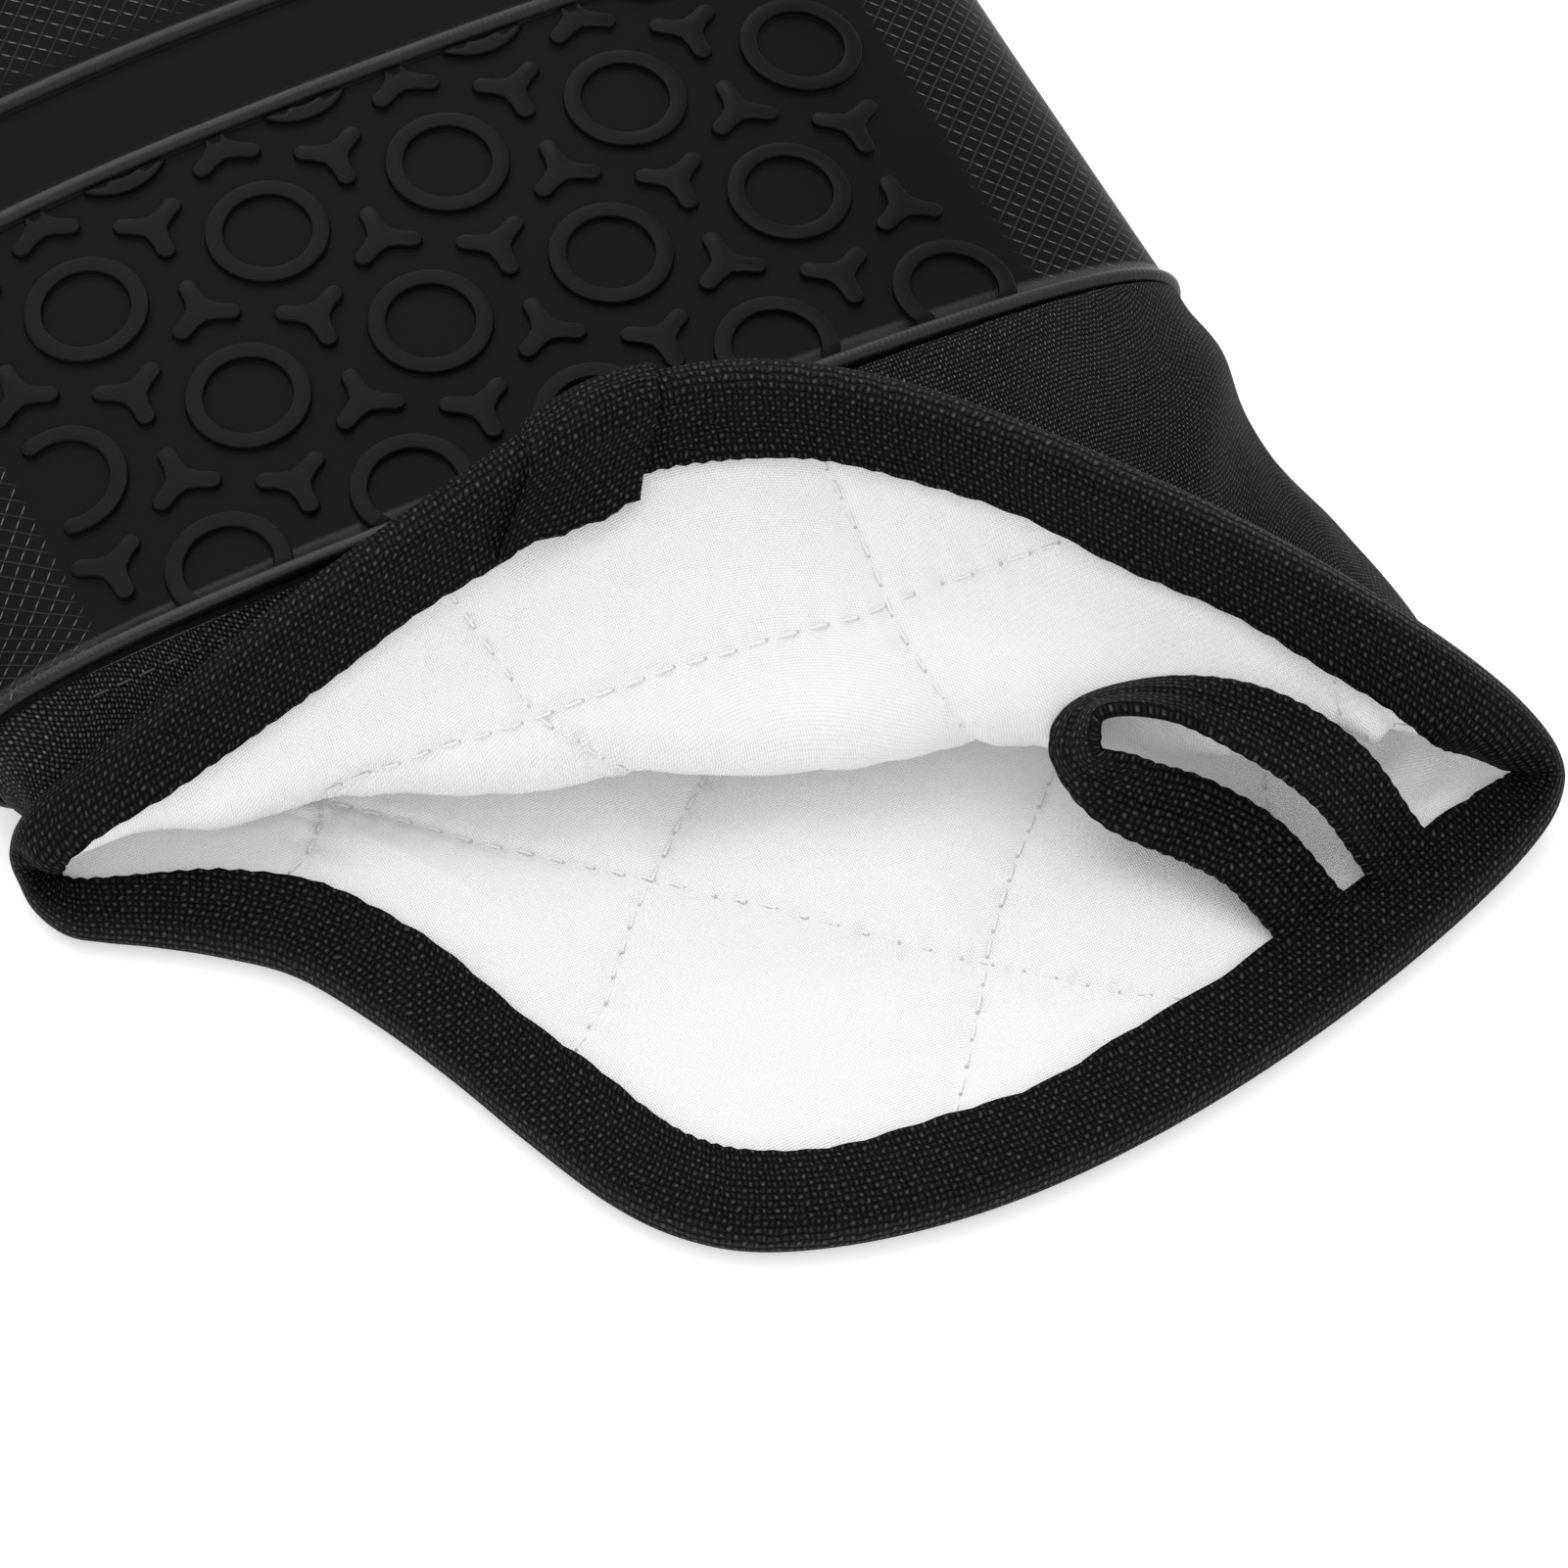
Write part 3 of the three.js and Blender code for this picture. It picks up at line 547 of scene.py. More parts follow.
def dashes(rubber, run, cross):
    """Thin raised lines, and the part of each that lies between the lines that cross it."""
    turn = 2 * math.pi / HATCH_PITCH
    line = rubber.calc("MAXIMUM", rubber.calc("COSINE", run * turn), 0.0) ** HATCH_SHARPNESS
    part = rubber.calc("SUBTRACT", 0.55, rubber.calc("COSINE", cross * turn))
    return line, rubber.calc("MINIMUM", rubber.calc("MAXIMUM", part, 0.0), 1.0)


def hatching(rubber, u, v):
    """Cross-hatching that mirrors about the middle beside the rings and runs straight beyond them."""
    beyond = rubber.calc("GREATER_THAN", v, RIDGES[1])
    mirrored = rubber.calc("ABSOLUTE", u)
    aside = mirrored + beyond * (u - mirrored)
    rising, falling = v + aside, v - aside
    plain, _ = dashes(rubber, falling, rising)
    broken, part = dashes(rubber, rising, falling)
    return rubber.calc("MAXIMUM", broken * part, rubber.calc("MAXIMUM", plain, broken) * 0.3)


def silicone():
    """Matt black silicone: fine cross-hatching where the mask says, its raised lines painted lighter as
    highlights, and a shine on the beads.
    """
    rubber = Surface("silicone", SILICONE_BLACK, 0.38, SILICONE_SPECULAR)
    uv, u, v = rubber.cloth_axes()
    shine = rubber.attribute("shine")
    hatched = hatching(rubber, u, v) * rubber.attribute("hatch")
    # Painted highlights: the hatch lines are coloured lighter than the rubber around them
    rubber.color_by(hatched, [(0.08, SILICONE_BLACK), (0.3, HATCH_FAINT_HIGHLIGHT), (1.0, HATCH_HIGHLIGHT)])
    specular = shine * BEAD_SPECULAR + SILICONE_SPECULAR
    rubber.link(specular.socket, rubber.inputs["Specular IOR Level"])
    ribs = rubber.calc("SINE", u * (2 * math.pi / RIB_PITCH)) * shine
    grain = rubber.noise(uv, 3.0, 4)
    rubber.bump(hatched + grain * 0.1 + ribs * 0.05, 0.22)
    return rubber.material


def cotton():
    """White cotton twill: fine slanting threads, with painted shade in the low ones and a faint glow as
    painted fill light.
    """
    cloth = Surface("cotton", COTTON_WHITE, 0.9, 0.05)
    _, u, v = cloth.cloth_axes()
    height = weave_height(cloth, u, v, *COTTON_CELL, 0.7, 0.7)
    # Painted fill light: a faint glow that lightens the cotton's shade
    cloth.glow(COTTON_FILL_GLOW)
    # Painted shade: the low threads are coloured darker
    cloth.color_by(height, [(0.0, COTTON_PAINTED_SHADE), (0.6, COTTON_WHITE)])
    cloth.bump(height, 0.1)
    return cloth.material


def plain(name, color, roughness, specular):
    return Surface(name, color, roughness, specular).material


SILICONE = silicone()
COTTON = cotton()
# Black canvas and webbing, whose lighter colour is painted highlight on the raised threads
CANVAS = woven("canvas", (0.0015, 0.0015, 0.0016), (0.16, 0.16, 0.162), 0.5, 0.58, 0.5)
WEBBING = woven("webbing", (0.0018, 0.0018, 0.0019), (0.078, 0.078, 0.08), 0.72, 0.84, 1.0)
SILICONE_TOP = plain("silicone_relief", (0.0045, 0.0045, 0.0047), 0.32, 0.06)
THREAD_BLACK = plain("black_thread", (0.05, 0.05, 0.05), 0.6, 0.3)
THREAD_WHITE = plain("white_thread", (0.8, 0.798, 0.81), 0.8, 0.05)
# Grey dots at the needle holes: painted shadow in the holes
HOLE_SHADOW = plain("hole_shadow", (0.55, 0.55, 0.57), 0.9, 0.0)


# Pieces


# Rings of the shell that lie between its bead and its ridges, by their distance from the seam
PLAIN_ROWS = [4, 7, *range(11, 60, 4), 62.8, 65, 68, 71, 73.2, 77, *range(80, 228, 3), 229, 231]
# Rings inside the shell's open edge: inset, distance from the seam and place in the pattern
EDGE_RINGS = [(SHELL_WALL, 12, -2.0), (SHELL_WALL, 0, -1.0), (0.2, 0, -0.5)]
BEAD_ENDS = 3
SHELL_STATIONS, THUMB_STATIONS = 340, 160
# How far round the tip each of its last rings lies
TIP_SHARES = (0.2, 0.4, 0.6, 0.75, 0.87, 0.94, 0.98, 1.0)
TIP_PATTERN = 6
THUMB_ROWS = (8, 20, 30, 40, 50, 62, 70, 78, 82, 86, 89, 92, 95, 98, 101, 104, 106, 108, 110, 112)
THUMB_PATTERN = 8.0
# Cross-hatching: rows beside the rings, row from which it covers the hand, and lowest height
HATCH_NEAR, HATCH_FAR, HATCH_AGAIN, HATCH_LOWEST = 3.5, 59, 77, 3


def shell_rows():
    """Distance from the seam and lift of every ring of the shell's outer face."""
    rows = [(float(y), 0.0) for y in PLAIN_ROWS]
    for a in np.linspace(-0.5, 0.5, 9) * math.pi:
        rows.append((BEAD_RADIUS * (1 + math.sin(a)), 0.95 * BEAD_RADIUS * math.cos(a)))
        for ridge in RIDGES:
            rows.append((ridge + RIDGE_RADIUS * math.sin(a), 1.1 * RIDGE_RADIUS * math.cos(a)))
    return sorted(rows)


def mask_points(piece, name, values):
    layer = piece.data.attributes.new(name, "FLOAT", "POINT")
    layer.data.foreach_set("value", values)


def build_shell():
    shares = np.arange(SHELL_STATIONS) / SHELL_STATIONS
    rings = [seam_ring(shares, inset, y) for inset, y, _ in EDGE_RINGS]
    rows = shell_rows()
    for y, lift in rows:
        rings.append(seam_ring(shares, -lift, y) if y < BEAD_ENDS else hand_ring(y, shares, -lift))
    tip = np.array(HAND_TIP, float)
    last = rings[-1]
    for share in TIP_SHARES:
        swell = math.sqrt(1 - share)
        rings.append(tip + (last - tip) * [swell, 1 - share, swell])
    rings = np.array(rings)
    v = [place for _, _, place in EDGE_RINGS] + [y for y, _ in rows]
    v += [v[-1] + TIP_PATTERN * share for share in TIP_SHARES]
    half = at_shares(outline(SEAM_HALF, SEAM_CROWN), shares)
    length = running_length(np.vstack([half, half[:1]]))
    middle = length[np.argmax(half[:, 1])]
    faces, uvs = grid(rings, length - middle, [[y] * SHELL_STATIONS for y in v])
    piece = make_mesh("silicone_hand", rings, faces, SILICONE, uvs)
    x, y, z = rings[..., 0].ravel(), rings[..., 1].ravel(), rings[..., 2].ravel()
    beside = smooth_step(np.abs(x), RELIEF_RIGHT, RELIEF_RIGHT + 1) * (y > HATCH_NEAR) * (y < HATCH_FAR)
    beyond = smooth_step(y, HATCH_AGAIN, HATCH_AGAIN + 1)
    mask_points(piece, "hatch", np.clip(beside + beyond, 0, 1) * (z > HATCH_LOWEST))
    lifts = [0.0] * len(EDGE_RINGS) + [lift for _, lift in rows] + [0.0] * len(TIP_SHARES)
    on_bead = np.abs(np.array(v) - BEAD_RADIUS) <= 1.05 * BEAD_RADIUS
    glossy = np.maximum(np.clip(np.array(lifts) / BEAD_RADIUS, 0, 1), on_bead)
    mask_points(piece, "shine", np.repeat(glossy, SHELL_STATIONS))
    return dress(piece, "silicone", "silicone_shell")


def build_thumb():
    shares = np.arange(THUMB_STATIONS) / THUMB_STATIONS
    table = {name: column(THUMB, THUMB_COLUMNS, name) for name in THUMB_COLUMNS}
    side = np.array([THUMB_AIM[1], -THUMB_AIM[0], 0])
    rings = []
    for along in THUMB_ROWS:
        half = smooth_interp(along, table["along"], table["half"])
        crown = smooth_interp(along, table["along"], table["crown"])
        ring = at_shares(outline(half, crown), shares)
        rings.append(THUMB_ROOT + THUMB_AIM * along + side * ring[:, :1] + UP * ring[:, 1:])
    tip = THUMB_ROOT + THUMB_AIM * THUMB_TIP[0] + UP * THUMB_TIP[1]
    short = np.outer((rings[-1] - tip) @ THUMB_AIM, THUMB_AIM)
    aside = rings[-1] - tip - short
    for share in TIP_SHARES:
        rings.append(tip + aside * math.sqrt(1 - share) + short * (1 - share))
    v = [[k * THUMB_PATTERN] * THUMB_STATIONS for k in range(len(rings))]
    faces, uvs = grid(rings, np.arange(THUMB_STATIONS + 1.0), v)
    piece = make_mesh("silicone_thumb", rings, faces, SILICONE, uvs)
    mask_points(piece, "hatch", (np.array(rings)[..., 2].ravel() > HATCH_LOWEST) * 1.0)
    return dress(piece, "silicone")


# Cross-section of a raised bead of rubber: distance out from its edge, height
RAISED = [(0.14, -0.03), (0.05, 0.06), (0.01, 0.25), (-0.02, 0.62), (-0.06, 0.72), (-0.18, RELIEF_HEIGHT)]


RING_STEPS = 72
# How far outside the patterned zone a ring's middle line may still run
ZONE_SIDE, ZONE_SEAM, ZONE_FAR = -1.5, -1.5, 1.2
SUNK = -0.3


def relief_point(x, y, height):
    """A point above the back of the hand, sunk into it next to the bead."""
    if y < RELIEF_NEAR:
        height = SUNK
    y = min(max(y, RELIEF_NEAR - 0.6), RELIEF_FAR)
    return np.array([x, y, float(top_height(x, y)) + height])


def band(faces, low, high, count):
    """Faces between two closed rows of points, by the index where each row starts."""
    for i in range(count):
        j = (i + 1) % count
        faces.append((low + i, low + j, high + j, high + i))


def ring_run(x, y, middle, angles):
    """Steps of a ring that lie inside the patterned zone, in order, and whether it is whole."""
    inside = []
    for a in angles:
        px, py = x + middle * math.cos(a), y + middle * math.sin(a)
        across = RELIEF_LEFT - ZONE_SIDE < px < RELIEF_RIGHT + ZONE_SIDE
        inside.append(across and ZONE_SEAM < py < RELIEF_FAR + ZONE_FAR)
    if all(inside):
        return list(range(RING_STEPS)), True
    starts = [k for k in range(RING_STEPS) if inside[k] and not inside[k - 1]]
    chain = []
    k = starts[0] if starts else 0
    while inside[k]:
        chain.append(k)
        k = (k + 1) % RING_STEPS
    return chain, False


def ring_strip(x, y, points, faces):
    """One raised ring, or the part of it that lies inside the patterned zone."""
    profile = [(RING_OUTER + out, h) for out, h in RAISED]
    profile += [(RING_INNER - out, h) for out, h in RAISED[::-1]]
    middle = (RING_OUTER + RING_INNER) / 2
    angles = [2 * math.pi * k / RING_STEPS for k in range(RING_STEPS)]
    chain, whole = ring_run(x, y, middle, angles)
    first = len(points)
    for n, step in enumerate(chain):
        ends = min(n, len(chain) - 1 - n)
        thin = 1.0 if whole else min(1.0, (0.25 + ends) / 1.6)
        for radius, h in profile:
            r = middle + (radius - middle) * math.sin(thin * math.pi / 2)
            px, py = x + r * math.cos(angles[step]), y + r * math.sin(angles[step])
            points.append(relief_point(px, py, h))
    width = len(profile)
    for n in range(len(chain) if whole else len(chain) - 1):
        low, high = first + n * width, first + (n + 1) % len(chain) * width
        faces.extend((low + k, high + k, high + k + 1, low + k + 1) for k in range(width - 1))


def nub_outline(x, y, angle, out):
    """Three round-ended arms, grown outward by a distance."""
    half = NUB_WIDTH / 2 + out
    end = NUB_ARM - NUB_WIDTH / 2
    root = half / math.tan(math.pi / 3) + 1.6
    shape = [(root, -half), (end, -half)]
    for k in range(1, 8):
        b = -math.pi / 2 + math.pi * k / 8
        shape.append((end + half * math.cos(b), half * math.sin(b)))
    shape += [(end, half), (root, half)]
    reach = half / math.sin(math.pi / 3) + 0.35
    points = []
    for arm in range(3):
        a = angle + arm * 2 * math.pi / 3
        c, s = math.cos(a), math.sin(a)
        points += [(x + u * c - w * s, y + u * s + w * c) for u, w in shape]
        points.append((x + reach * math.cos(a + math.pi / 3), y + reach * math.sin(a + math.pi / 3)))
    return points


def nub(x, y, angle, points, faces):
    first = len(points)
    loops = [nub_outline(x, y, angle, out) for out, _ in RAISED]
    count = len(loops[0])
    for loop, (_, h) in zip(loops, RAISED):
        points.extend(relief_point(px, py, h) for px, py in loop)
    for r in range(len(loops) - 1):
        band(faces, first + r * count, first + (r + 1) * count, count)
    points.append(relief_point(x, y, RELIEF_HEIGHT))
    top = first + (len(loops) - 1) * count
    faces.extend((top + i, top + (i + 1) % count, len(points) - 1) for i in range(count))


def build_relief():
    """Rings on a lattice of equal triangles, with a nub in the middle of each triangle."""
    points, faces = [], []
    row_step = LATTICE_STEP * math.sin(math.pi / 3)
    for j in range(-2, 2):
        y = LATTICE_Y + row_step * j
        for i in range(-5, 6):
            x = LATTICE_X + LATTICE_STEP * (i + j / 2)
            if x < LAST_RING_X:
                ring_strip(x, y, points, faces)
            spots = [
                (x + LATTICE_STEP / 2, y + row_step / 3, -math.pi / 2),
                (x, y + 2 * row_step / 3, math.pi / 2),
            ]
            for nx, ny, angle in spots:
                if RELIEF_LEFT + 3 < nx < RELIEF_RIGHT - 3 and 2 < ny < RELIEF_FAR:
                    nub(nx, ny, angle, points, faces)
    piece = make_mesh("raised_relief", points, faces, SILICONE_TOP)
    return dress(piece, "silicone")


# Woven cuff


def upper_lip():
    """How far each station belongs to the raised upper lip, from 0 to 1."""
    return smooth_step(cuff.place, 1.5, 3.5) * (1 - smooth_step(cuff.place, 10.5, 12))


# Lift of the woven cuff where its folded edge is sewn to the silicone
TUCK = 0.7

# Soft folds of the woven cuff: middle of the fold in x and y, its heading, half length, half width, height
CLOTH_FOLDS = [
    (68, -16, 62, 22, 3.2, 1.7),
    (60, -28, 58, 24, 3.5, 1.2),
    (74, -34, 64, 16, 3.0, 1.7),
    (79, -50, 70, 12, 2.8, 1.2),
    (48, -16, 60, 20, 5.0, 0.6),
    (30, -10, 30, 24, 4.5, 0.5),
    (-45, -6, 10, 16, 3.0, 0.5),
    (-62, -8, 30, 12, 3.0, 0.6),
]


def cloth_folds(points):
    lift = np.zeros(points.shape[:-1])
    for x, y, heading, half_length, half_width, height in CLOTH_FOLDS:
        c, s = math.cos(math.radians(heading)), math.sin(math.radians(heading))
        dx, dy = points[..., 0] - x, points[..., 1] - y
        along, across = dx * c + dy * s, -dx * s + dy * c
        lift += height * np.exp(-((along / half_length) ** 2) - (across / half_width) ** 2)
    return lift * smooth_step(points[..., 2], 8, 14)


def build_fabric():
    rows = list(range(ROWS - 1, -1, -1))
    inner = [cuff.at(k, 0.0) for k in rows]
    outer = []
    for k in rows:
        fade = smooth_step(cuff.distance[:, k], 6, 16) * smooth_step(ROWS - 1 - k, 0, 5)
        to_seam = cuff.distance[:, -1] - cuff.distance[:, k]
        tuck = TUCK * (1 - smooth_step(to_seam, 0.5, 7)) * upper_lip()
        outer.append(cuff.at(k, -FABRIC_WALL - tuck - fade * cloth_folds(cuff.points[:, k])))
    for ring in (inner[0], outer[0]):
        ring[:, 1] -= GAP
    outer[0][:, 1] = np.minimum(outer[0][:, 1], inner[0][:, 1])
    v = [cuff.distance[:, k] for k in rows]
    faces, uvs = grid(inner + outer[::-1], cuff.along, v + v[::-1] + v[:1], close_rows=True)
    piece = outward(make_mesh("woven_cuff", np.array(inner + outer[::-1]), faces, CANVAS, uvs))
    return dress(piece, "cuff", "fabric_cuff")


# Quilting seams of the lining, each a line of (place round the rim, distance from the rim)
UPPER_SEAMS = [
    [(6.35, 8), (6.45, 14.7), (6.52, 22), (6.53, 28), (6.6, 32), (6.75, 36), (7.0, 42), (7.2, 50)],
    [(2.7, 19), (3.06, 20.6), (3.5, 23.6), (4.06, 27.6), (4.6, 30.3), (5.25, 32), (5.8, 31),
     (6.3, 28.9), (6.7, 24.7), (7.15, 19.5), (7.6, 12.5), (7.85, 8)],
    [(3.78, 8), (3.94, 18.9), (4.06, 27.6), (4.3, 33), (4.7, 42)],
    [(9.2, 8), (9.3, 16), (9.2, 26), (8.9, 38)],
    [(9.9, 8), (9.4, 14), (8.9, 22), (8.4, 32)],
]
LOWER_SEAMS = [
    [(19.2, 30), (18.25, 37.2), (17.5, 45.5), (16.75, 50.8), (16.2, 50.8), (15.75, 48.8), (15.2, 42.6),
     (14.8, 35.2), (14.45, 27.6), (14.2, 22.5), (13.9, 15.6), (13.62, 9)],
    [(14.8, 68), (15.06, 62.7), (15.35, 57.2), (15.75, 48.8), (16.1, 42), (16.8, 30), (17.35, 17),
     (17.55, 8)],
    [(13.3, 47), (13.62, 42), (13.95, 36), (14.25, 29), (14.5, 21.4), (14.72, 15), (14.95, 8)],
    [(17.9, 46), (18.25, 37.2), (18.65, 25), (19.0, 15.4), (19.25, 8)],
    [(12.4, 36), (12.7, 30), (12.9, 20), (13.05, 8)],
]
SEAM_DIP, DIP_WIDTH = 0.65, 0.7
PUFF, PUFF_WIDTH = 1.5, 7.0
PUCKER, PUCKER_WIDTH = 0.2, 3.5
STITCH_PITCH, STITCH_LENGTH, FIRST_STITCH = 3.6, 2.5, 0.6
GATHER = 0.6
# Place round the rim where the upper lip's lining meets the lower one's
UPPER_ENDS = 11.5
# Rings of the lining inside the hand, by their distance from the seam: inner face, outer face
INNER_RINGS = (220, 200, 172, 140, 105, 60, 20)
OUTER_RINGS = (8, 60, 105, 140, 172, 200, 220)


def padding(k):
    """Thickness of the lining and the gap over a row of the cloth."""
    grown = np.clip((cuff.distance[:, k] - TAPE_LEG) / 18, 0, 1) * np.minimum(cuff.lean / FULL_LEAN, 1)
    return GAP + LINING_RIM_WALL + (LINING_WALL - LINING_RIM_WALL) * grown


def on_cloth(field, place, from_rim):
    """A field's value at a place round the rim and a distance down from it."""
    i = cuff.station(place)
    stations = [int(i) % cuff.count, (int(i) + 1) % cuff.count]
    near, far = [at_length(from_rim, cuff.distance[n], field[n]) for n in stations]
    return near * (1 - (i - int(i))) + far * (i - int(i))


def seam_line(seam, field):
    """Evenly fine points of a quilting seam on a field of the cloth."""
    table = np.array(seam, float)
    t = np.linspace(0, len(table) - 1, 12 * len(table))
    place = np.interp(t, range(len(table)), table[:, 0])
    down = np.interp(t, range(len(table)), table[:, 1])
    for _ in range(6):
        place[1:-1] = (place[:-2] + 2 * place[1:-1] + place[2:]) / 4
        down[1:-1] = (down[:-2] + 2 * down[1:-1] + down[2:]) / 4
    return np.array([on_cloth(field, p, d) for p, d in zip(place, down)])


def seam_distance(points, seams, field):
    """Distance to the nearest seam of each point, and how far along that seam it lies."""
    best = np.full(points.shape[:-1], 1e3)
    run = np.zeros(points.shape[:-1])
    for seam in seams:
        line = seam_line(seam, field)
        for a, b, start in zip(line[:-1], line[1:], running_length(line)[:-1]):
            ab = b - a
            t = np.clip(((points - a) @ ab) / max(ab @ ab, 1e-9), 0, 1)
            d = np.linalg.norm(points - (a + t[..., None] * ab), axis=-1)
            nearer = d < best
            best = np.where(nearer, d, best)
            run = np.where(nearer, start + t * np.linalg.norm(ab), run)
    return best, run


def eased(field, passes=10):
    """A field of directions averaged over its neighbours, apart from the rows under the tape."""
    for _ in range(passes):
        across = (np.roll(field, 1, 0) + np.roll(field, -1, 0)) / 2
        along = field.copy()
        along[:, 1:-1] = (field[:, :-2] + field[:, 2:]) / 2
        field = unit(2 * field + across + along)
    share = smooth_step(np.arange(ROWS), LEG_ROWS, LEG_ROWS + 6)[None, :, None]
    return unit(cuff.inward * (1 - share) + field * share)


def lining_face():
    """The quilted inner face of the lining, as rings from the rim down to the seam."""
    inward = eased(cuff.inward)
    pads = np.array([padding(k) for k in range(ROWS)]).T
    flat = cuff.points + inward * (pads * cuff.pinch[:, None])[..., None]
    upper = (cuff.place < UPPER_ENDS)[:, None]
    d_up, run_up = seam_distance(flat, UPPER_SEAMS, flat)
    d_low, run_low = seam_distance(flat, LOWER_SEAMS, flat)
    d = np.where(upper, d_up, d_low)
    run = np.where(upper, run_up, run_low)
    swell = PUFF * (1 - np.exp(-((d / PUFF_WIDTH) ** 2)))
    dip = SEAM_DIP * np.exp(-((d / DIP_WIDTH) ** 2))
    pucker = PUCKER * np.exp(-((d / PUCKER_WIDTH) ** 2)) * np.cos(2 * math.pi * run / STITCH_PITCH)
    near_tape = smooth_step(cuff.distance, TAPE_LEG - 3, TAPE_LEG + 8)
    place, down = cuff.place[:, None], cuff.distance
    beside_loop = smooth_step(place, 8.8, 9.8) * (1 - smooth_step(place, 12.2, 13.0))
    gathered = beside_loop * smooth_step(down, 7, 12) * (1 - smooth_step(down, 34, 44))
    wave = np.sin(2 * math.pi * (down / 7.5 + 0.9 * place))
    wave = wave + 0.6 * np.sin(2 * math.pi * (down / 5.1 - 1.7 * place))
    at_corner = smooth_step(np.minimum(cuff.lean, 12.0), 6.5, 11)[:, None]
    lift = pads + near_tape * (at_corner * (swell - 0.5) + pucker - dip) + GATHER * gathered * wave
    return cuff.points + inward * (lift * cuff.pinch[:, None])[..., None]


def build_lining():
    face = lining_face()
    inset = SHELL_WALL + GAP
    deep = [hand_ring(y, cuff.shares, inset + LINING_WALL) for y in INNER_RINGS]
    tip = np.array([HAND_TIP[0], HAND_TIP[1] - inset - LINING_WALL, HAND_TIP[2]])
    cap = [tip + (deep[0] - tip) * share for share in (0.05, 0.5)]
    inside = cap + deep + [face[:, k] for k in range(ROWS - 1, -1, -1)]
    outside = [cuff.at(k, GAP) for k in range(ROWS)]
    outside += [hand_ring(y, cuff.shares, inset) for y in OUTER_RINGS]
    rings = np.array(inside + outside)
    faces, _ = grid(rings)
    down = [np.full(cuff.count, 300.0)] * len(cap)
    down += [np.full(cuff.count, 100.0 + y) for y in INNER_RINGS]
    down += [cuff.distance[:, k] for k in [*range(ROWS - 1, -1, -1), *range(ROWS)]]
    down += [np.full(cuff.count, 100.0 + y) for y in OUTER_RINGS]
    flat = rings.reshape(-1, 3)
    upper = np.tile(cuff.place < UPPER_ENDS, len(rings))
    down = np.where(upper, np.concatenate(down), flat[:, 1])
    uvs = [(flat[k, 0], down[k]) for corners in faces for k in corners]
    piece = make_mesh("quilted_lining", rings, faces, COTTON, uvs)
    return dress(piece, "lining", "lining"), face


# Threads


# Arch of one stitch: share of its length, and height in radii
THREAD_ARCH = [(0.0, -0.9), (0.12, 0.1), (0.35, 0.75), (0.65, 0.75), (0.88, 0.1), (1.0, -0.9)]
QUILT_THREAD, HOLE_RADIUS = 0.17, 0.16
# Cuff stitches: distance from the seam, pitch, length, radius of the thread, and their run round the rim
CUFF_STITCH_DOWN, CUFF_STITCH_PITCH, CUFF_STITCH_LENGTH, CUFF_THREAD = 2.6, 2.9, 2.0, 0.14
CUFF_STITCH_RUN = (1.2, 11.0)


def capsule(start, end, radius, lift, points, faces, sides=6):
    """A short thread between two points, its ends tucked down."""
    along = end - start
    side = unit(np.cross(along, lift))
    first = len(points)
    for t, height in THREAD_ARCH:
        middle = start + along * t + lift * radius * height
        thin = radius * (0.6 if t in (0.0, 1.0) else 1.0)
        for k in range(sides):
            a = 2 * math.pi * k / sides
            points.append(middle + thin * (side * math.cos(a) + lift * math.sin(a)))
    last = first + (len(THREAD_ARCH) - 1) * sides
    for low in range(first, last, sides):
        band(faces, low, low + sides, sides)
    faces.append(tuple(range(first, first + sides))[::-1])
    faces.append(tuple(range(last, last + sides)))


def thread_run(line, lifts, pitch, length, radius, points, faces):
    """Stitches along a line, each lifted along the directions given for its points."""
    total = running_length(line)
    for start in np.arange(FIRST_STITCH, total[-1] - length, pitch):
        ends = at_length(np.array([start, start + length]), total, line)
        lift = unit(at_length(start + length / 2, total, lifts))
        capsule(ends[0], ends[1], radius, lift, points, faces)


def build_quilt_stitches(face):
    points, faces = [], []
    for seam in UPPER_SEAMS + LOWER_SEAMS:
        lifts = seam_line(seam, cuff.inward)
        line = seam_line(seam, face)
        thread_run(line, lifts, STITCH_PITCH, STITCH_LENGTH, QUILT_THREAD, points, faces)
    dress(make_mesh("quilt_stitches", points, faces, THREAD_WHITE), "lining")


def build_hole_shadows(face):
    """A small grey dot, painted shadow of the needle hole, just inside the far end of every quilting
    stitch.
    """
    points, faces = [], []
    half = np.array([0.2, 0, 0])
    for seam in UPPER_SEAMS + LOWER_SEAMS:
        line, lifts = seam_line(seam, face), unit(seam_line(seam, cuff.inward))
        total = running_length(line)
        for start in np.arange(FIRST_STITCH, total[-1] - 2.3, STITCH_PITCH):
            middle = at_length(start + 2.35, total, line)
            lift = at_length(start + 2.35, total, lifts)
            capsule(middle - half, middle + half, HOLE_RADIUS, lift, points, faces)
    dress(make_mesh("hole_shadows", points, faces, HOLE_SHADOW), "lining")


# Binding tape

# Offsets of the tape from the cuff cloth, and the scallops of its edge, in millimetres
TAPE_INSIDE = GAP + LINING_RIM_WALL + GAP
TAPE_OUTSIDE = FABRIC_WALL + GAP
SELVEDGE_PITCH = 2.0
SELVEDGE = 0.32
# Slow wobble of the tape's width: its size, and the waves round the rim with the phase of each
WOBBLE = 0.25
WOBBLE_WAVES = [(5, 0.8), (11, 2.1), (17, 1.2)]
# Creases across the tape at the mouth's corners: place round the rim, width and depth
CREASES = [(21.75, 0.12, 0.5), (12.2, 0.12, 0.3), (0.55, 0.1, 0.35)]


